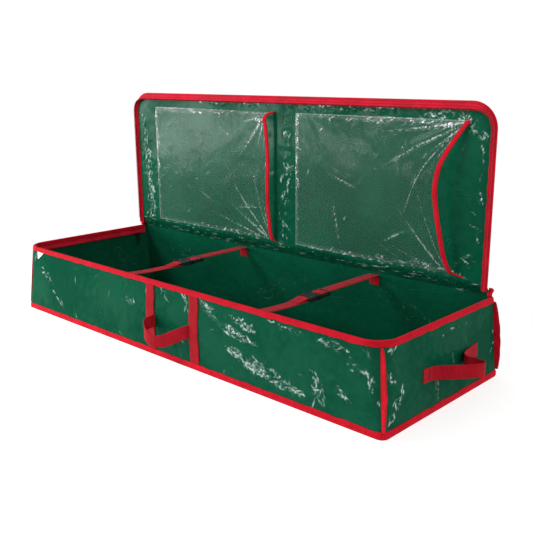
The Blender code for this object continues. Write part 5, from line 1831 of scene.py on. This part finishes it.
@dataclass
class Handles:
    """The upright webbings on the front, the slack loop between them and the grips on the ends."""

    width: float = 0.025
    thick: float = 0.0015
    handle_thick: float = 0.0018
    left_x: float = -0.042
    right_x: float = 0.088
    height: float = 0.075
    reach: float = 0.034
    drop: float = 0.028
    end_y: float = 0.0175
    end_span: float = 0.179
    end_reach: float = 0.054
    front_tab: float = 0.016
    rear_tab: float = 0.024
    front_shares: tuple[Triple, ...] = (
        (0, 0, 0), (0, 4, 0), (0, 8, 0), (0, 24, 4), (-4, 50, 18),
        (0, 78, 42), (13, 98, 72), (32, 100, 96), (53, 82, 88), (76, 50, 45),
        (94, 24, 10), (100, 8, 0), (100, 4, 0), (100, 0, 0))
    end_shares: tuple[Pair, ...] = (
        (0, 0), (6, 2), (17, 22), (36, 64), (52, 94), (61, 100),
        (65, 86), (66, 58), (65, 34), (71, 15), (84, 4), (100, 0))

    def build(self) -> None:
        """Make and dress every webbing of the handles."""
        self.upright("left", self.left_x)
        self.upright("right", self.right_x)
        self.front_loop()
        for hand in Hand:
            self.end_loop(hand)
            front, rear = self.end_y - self.end_span / 2, self.end_y + self.end_span / 2
            self.tab(hand, "front", front, front + self.front_tab)
            self.tab(hand, "rear", rear - self.rear_tab, rear)

    def upright(self, label: str, x: float) -> None:
        """Webbing laid up the front wall from the foot's tape to the rim's.

        Args:
            label: Left or right, for its name.
            x: Its middle's place along the wall.
        """
        z = np.linspace(BOX.foot_tape + BOX.gap, BOX.under_rim, 50)
        section = strap_section(self.width, self.thick)
        wave = 0.0004 * sway(z, int(abs(x) * 1000), 0.06)
        place = x + wave[:, None] + section[None, :, 0]
        out = BOX.gap + self.thick / 2 + section[None, :, 1] + 0.0002 * (1 + sway(z, 31, 0.04))[:, None]
        web = swept("front_web_" + label, BOX.beside(Side.FRONT, place, z[:, None], out), z)
        seat(web, "base", "red_webbing", STRAP_WEB, "front_webbing_" + label)

    def levels(self) -> Array:
        """Heights of a loop's lower edge, middle and upper edge."""
        return self.height + np.array([-self.width / 2, 0, self.width / 2])

    def front_loop(self) -> None:
        """The slack loop, from shares of its span, its reach off the wall and its drop."""
        start = self.left_x + self.width / 2 + BOX.gap + self.handle_thick / 2
        end = self.right_x - self.width / 2 - BOX.gap - self.handle_thick / 2
        wall = min(float(BOX.beside(Side.FRONT, x, self.levels(), BOX.gap)[:, 1].min())
                   for x in (start, end))
        points = [(lerp(start, end, along), wall - self.reach * out, self.height - self.drop * down)
                  for along, out, down in np.array(self.front_shares) / 100]
        section = strap_section(self.width, self.handle_thick)
        loop = ribbon("front_loop", curve_through(points, 150), UP, section)
        seat(loop, "front_handle", "red_webbing", STRAP_WEB, "front_handle")

    def end_loop(self, hand: Hand) -> None:
        """A grip on an end wall, from shares of its span and its reach, in plan.

        Args:
            hand: Which end of the box.
        """
        start = self.end_y - self.end_span / 2 + self.front_tab + BOX.gap
        end = self.end_y + self.end_span / 2 - self.rear_tab - BOX.gap
        places = np.repeat((start, self.end_y, end), 3)
        edges = BOX.beside(hand.side, places, np.tile(self.levels(), 3), BOX.gap)
        wall = float(np.abs(edges[:, 0]).max())
        points = [(hand.value * (wall + self.handle_thick / 2 + self.end_reach * out),
                   lerp(start, end, along), self.height) for along, out in np.array(self.end_shares) / 100]
        section = strap_section(self.width, self.handle_thick)
        grip = ribbon(hand.word + "_grip", curve_through(points, 130), UP, section)
        seat(grip, hand.word + "_handle", "red_webbing", STRAP_WEB, hand.word + "_handle")

    def tab(self, hand: Hand, part: str, start: float, end: float) -> None:
        """A sewn end of a grip, flat on the wall.

        Args:
            hand: Which end of the box.
            part: Front or rear, for its name.
            start: Y where it starts.
            end: Y where it ends.
        """
        section = strap_section(self.width, self.handle_thick)
        y = np.linspace(start, end, 12)
        out = BOX.gap + self.handle_thick / 2 + section[None, :, 1]
        rings = BOX.beside(hand.side, y[:, None], self.height + section[None, :, 0], out)
        tab = swept(f"{hand.word}_grip_{part}_end", rings, y - start)
        seat(tab, "base", "red_webbing", STRAP_WEB, f"{hand.word}_handle_{part}_tab")


@dataclass
class CrossStrap:
    """One strap across the open box, in two lengths that meet at a side-release buckle."""

    name: str
    x: float
    mouth: float
    web: float = 0.025
    thick: float = 0.0015
    drop: float = 0.007
    buckle_z: float = 0.1465
    socket: float = 0.036
    bar_width: float = 0.0037
    bar_thick: float = 0.0032
    tail: float = 0.024
    tab: float = 0.022
    plug: float = 0.028
    deck: float = 0.0024

    def build(self) -> None:
        """Make both lengths and dress the buckle."""
        self.front()
        self.back()
        dress_node(self.name + "_buckle_socket", BLACK_PLASTIC, 0.0005)
        dress_node(self.name + "_buckle_plug", BLACK_PLASTIC, 0.0004)

    def front(self) -> None:
        """Webbing from the front rim to the socket, round its bar and back along itself."""
        edge = BOX.height - self.drop
        _, start, height = BOX.beside(Side.FRONT, self.x, edge, -(BOX.inner_leg + BOX.tape + BOX.gap))
        run_drop = self.bar_thick / 2 + BOX.gap + self.thick / 2
        back = self.mouth - self.socket
        bar, tail = back + self.bar_width, back - self.tail
        low, high = self.buckle_z - run_drop, self.buckle_z + run_drop
        lay = low + self.thick + 2 * BOX.gap
        points = [(start, height), ((start + tail) / 2, (height + low) / 2 - self.thick), (tail, low),
                  (back, low), (bar, low)]
        points += [(bar + run_drop * sin(turn), self.buckle_z - run_drop * cos(turn))
                   for turn in np.linspace(0, pi, 9)[1:-1]]
        points += [(bar, high), (back, high), (back - self.tail / 3, lay + self.thick),
                   (back - self.tail * 2 / 3, lay), (tail, lay)]
        self.web_along("front", points, 220)

    def back(self) -> None:
        """Webbing from the buckle's mouth over the plug's deck and down the back wall."""
        run_z = self.buckle_z + self.deck + BOX.gap + self.thick / 2
        inset = -BOX.wall - BOX.gap - self.thick / 2
        (_, wall, _), (_, foot, foot_z) = (BOX.beside(Side.BACK, self.x, z, inset)
                                           for z in (run_z, run_z - self.tab))
        turn, bend, deck = 2 * self.thick, run_z - 2 * self.thick, self.mouth + self.plug
        points = [(self.mouth + turn, run_z), (deck, run_z), ((deck + wall) / 2, run_z),
                  (wall - turn, run_z), (wall - 0.3 * turn, run_z - 0.3 * turn), (wall, bend),
                  (lerp(wall, foot, 0.5), lerp(bend, foot_z, 0.5)), (foot, foot_z)]
        self.web_along("back", points, 160)

    def web_along(self, part: str, points: Sequence[Pair], count: int) -> None:
        """Webbing through points of the strap's own upright plane.

        Args:
            part: Which length of it.
            points: Y and Z of the points.
            count: How many rings it has.
        """
        path = curve_through([(self.x, *point) for point in points], count)
        web = ribbon(f"{self.name}_{part}_strap", path, ALONG, strap_section(self.web, self.thick))
        seat(web, "base", "red_webbing", STRAP_WEB, f"{self.name}_strap_{part}")


@dataclass
class CareLabel:
    """The small blank label that hangs out from under the rim's tape."""

    inset: float = 0.049
    width: float = 0.027
    drop: float = 0.017
    thick: float = 0.0004
    tip: float = 0.18

    def build(self) -> None:
        """Make and dress the label."""
        z = np.linspace(BOX.under_rim - self.drop, BOX.under_rim, 18)
        across = np.linspace(0, 1, 18)
        run = (z[-1] - z) / self.drop
        width = (self.width * lerp(1, self.tip, run))[:, None]
        place = self.inset - BOX.length / 2 + across[None, :] * width
        curl = 0.0012 * run[:, None] ** 2 * (0.4 + across[None, :])
        heights = z[:, None]
        back = BOX.beside(Side.FRONT, place, heights, BOX.gap + curl)
        front = BOX.beside(Side.FRONT, place, heights, BOX.gap + self.thick + curl)
        label = closed_sheet("blank_label", front, back, stacked(place, heights))
        seat(label, "base", "white_label", LABEL_CLOTH, "care_label")


@dataclass
class Studio:
    """Floor, world, lamps and camera."""

    focal: float = 51.394
    eye: Triple = (1.1258, -1.0859, 0.5488)
    pitch: float = -0.2458
    yaw: float = 0.7533
    floor_reach: Pair = (0.1, 0.45)
    lamps: tuple[tuple[str, Triple, Pair, float], ...] = (
        ("key", (-1.7, -1.7, 2.0), (0.8, 0.8), 40.0), ("left_panel", (-2.4, -1.4, 0.52), (1.0, 1.0), 40.0),
        ("low_strip", (-2, -2, 0.35), (0.2, 0.6), 9), ("front_strip", (-1.5, -2.3, 0.45), (0.2, 0.6), 9),
        ("end_strip", (1.9, 1.9, 0.5), (0.15, 0.5), 9), ("fill", (2.4, -1, 1.5), (1.6, 1.6), 27))

    def build(self) -> None:
        """Set up the picture."""
        scene = bpy.context.scene
        scene.view_settings.view_transform = "Standard"
        camera = bpy.data.cameras.new("camera")
        camera.lens = self.focal
        camera.sensor_width = 36.0
        camera.clip_start, camera.clip_end = 0.01, 50.0
        item = link("camera", camera)
        item.location = self.eye
        item.rotation_euler = (pi / 2 + self.pitch, 0, self.yaw)
        scene.camera = item
        self.floor()
        self.world()
        for lamp in self.lamps:
            self.lamp(*lamp)

    def lamp(self, name: str, place: Triple, size: Pair, power: float) -> None:
        """A soft lamp that looks at the middle of the object.

        Args:
            name: Its name.
            place: Where it stands.
            size: Its width and height.
            power: Its power in watts.
        """
        data = bpy.data.lights.new(name, "AREA")
        data.shape = "RECTANGLE"
        data.size, data.size_y = size
        data.energy = power
        item = link(name, data)
        item.location = place
        item.rotation_euler = (Vector((0, 0, 0.18)) - Vector(place)).to_track_quat("-Z", "Y").to_euler()

    def floor(self) -> None:
        """A pale floor that keeps the object's shadow and fades into the white background.

        Its opacity falls from one to nothing between two distances from the object.
        """
        mesh = bpy.data.meshes.new("floor")
        far, low = self.floor_reach[1] + 0.7, -0.0005
        mesh.from_pydata([(-far, -far, low), (far, -far, low), (far, far, low), (-far, far, low)],
                         [], [(0, 1, 2, 3)])
        material = bpy.data.materials.new("pale_floor")
        material.use_nodes = True
        w = Surface(material)
        across, along, _ = w.split(w.solid)
        beyond = [w.math("MAXIMUM", w.math("SUBTRACT", w.math("ABSOLUTE", value), half), 0)
                  for value, half in ((across, BOX.length / 2), (along, BOX.width / 2))]
        away = w.math("SQRT", w.plus(*(w.times(value, value) for value in beyond)))
        w.dress({"Base Color": (0.8, 0.8, 0.8, 1.0), "Roughness": 0.9, "Specular IOR Level": 0.1,
                 "Emission Color": (1.0, 1.0, 1.0, 1.0), "Emission Strength": w.times(self.seen(w), 0.52),
                 "Alpha": w.band(away, *self.floor_reach, 1, 0)})
        mesh.materials.append(material)
        link("floor", mesh)

    def seen(self, w: Wiring) -> Socket:
        """One for rays from the camera, or by way of gloss or clear film, and nothing for others.

        Args:
            w: The wiring of the tree that asks.

        Returns:
            The value.
        """
        ray = w.node("LightPath")
        direct = w.math("MAXIMUM", ray.outputs["Is Camera Ray"], ray.outputs["Is Glossy Ray"])
        return w.math("MAXIMUM", direct, ray.outputs["Is Transmission Ray"])

    def world(self) -> None:
        """A white background where it is seen, and a softer sky for plain light."""
        world = bpy.data.worlds.new("studio")
        bpy.context.scene.world = world
        world.use_nodes = True
        w = Wiring(world.node_tree)
        back = world.node_tree.nodes["Background"]
        w.feed(back.inputs["Strength"], w.band(self.seen(w), 0.0, 1.0, 0.45, 1.0))
        back.inputs["Color"].default_value = (1.0, 1.0, 1.0, 1.0)


def main() -> None:
    """Build every sub-assembly in order."""
    logging.basicConfig(level=logging.INFO, format="%(message)s")
    Studio().build()
    parts = (
        BoxCloth(), BoxBindings(), BoxZip(), LidCloth(), HingeCloth(),
        Pocket("left", -0.425, -0.0135, 0.012, 0.009, 501, (
            (0, 0), (3, 45), (15, 75), (37, 102), (62, 90), (84, 110), (96, 130),
            (100, 0))),
        Pocket("right", 0.046, 0.456, 0.024, 0.048, 601, (
            (0, 0), (3, 36), (13, 60), (30, 80), (43, 93), (57, 100), (70, 91),
            (82, 62), (93, 25), (100, 0))),
        Handles(), CrossStrap("left", -0.1325, 0.006), CrossStrap("right", 0.2475, -0.014), CareLabel())
    for part in parts:
        part.build()
        LOG.info("%s is built", type(part).__name__)


if __name__ == "__main__":
    main()
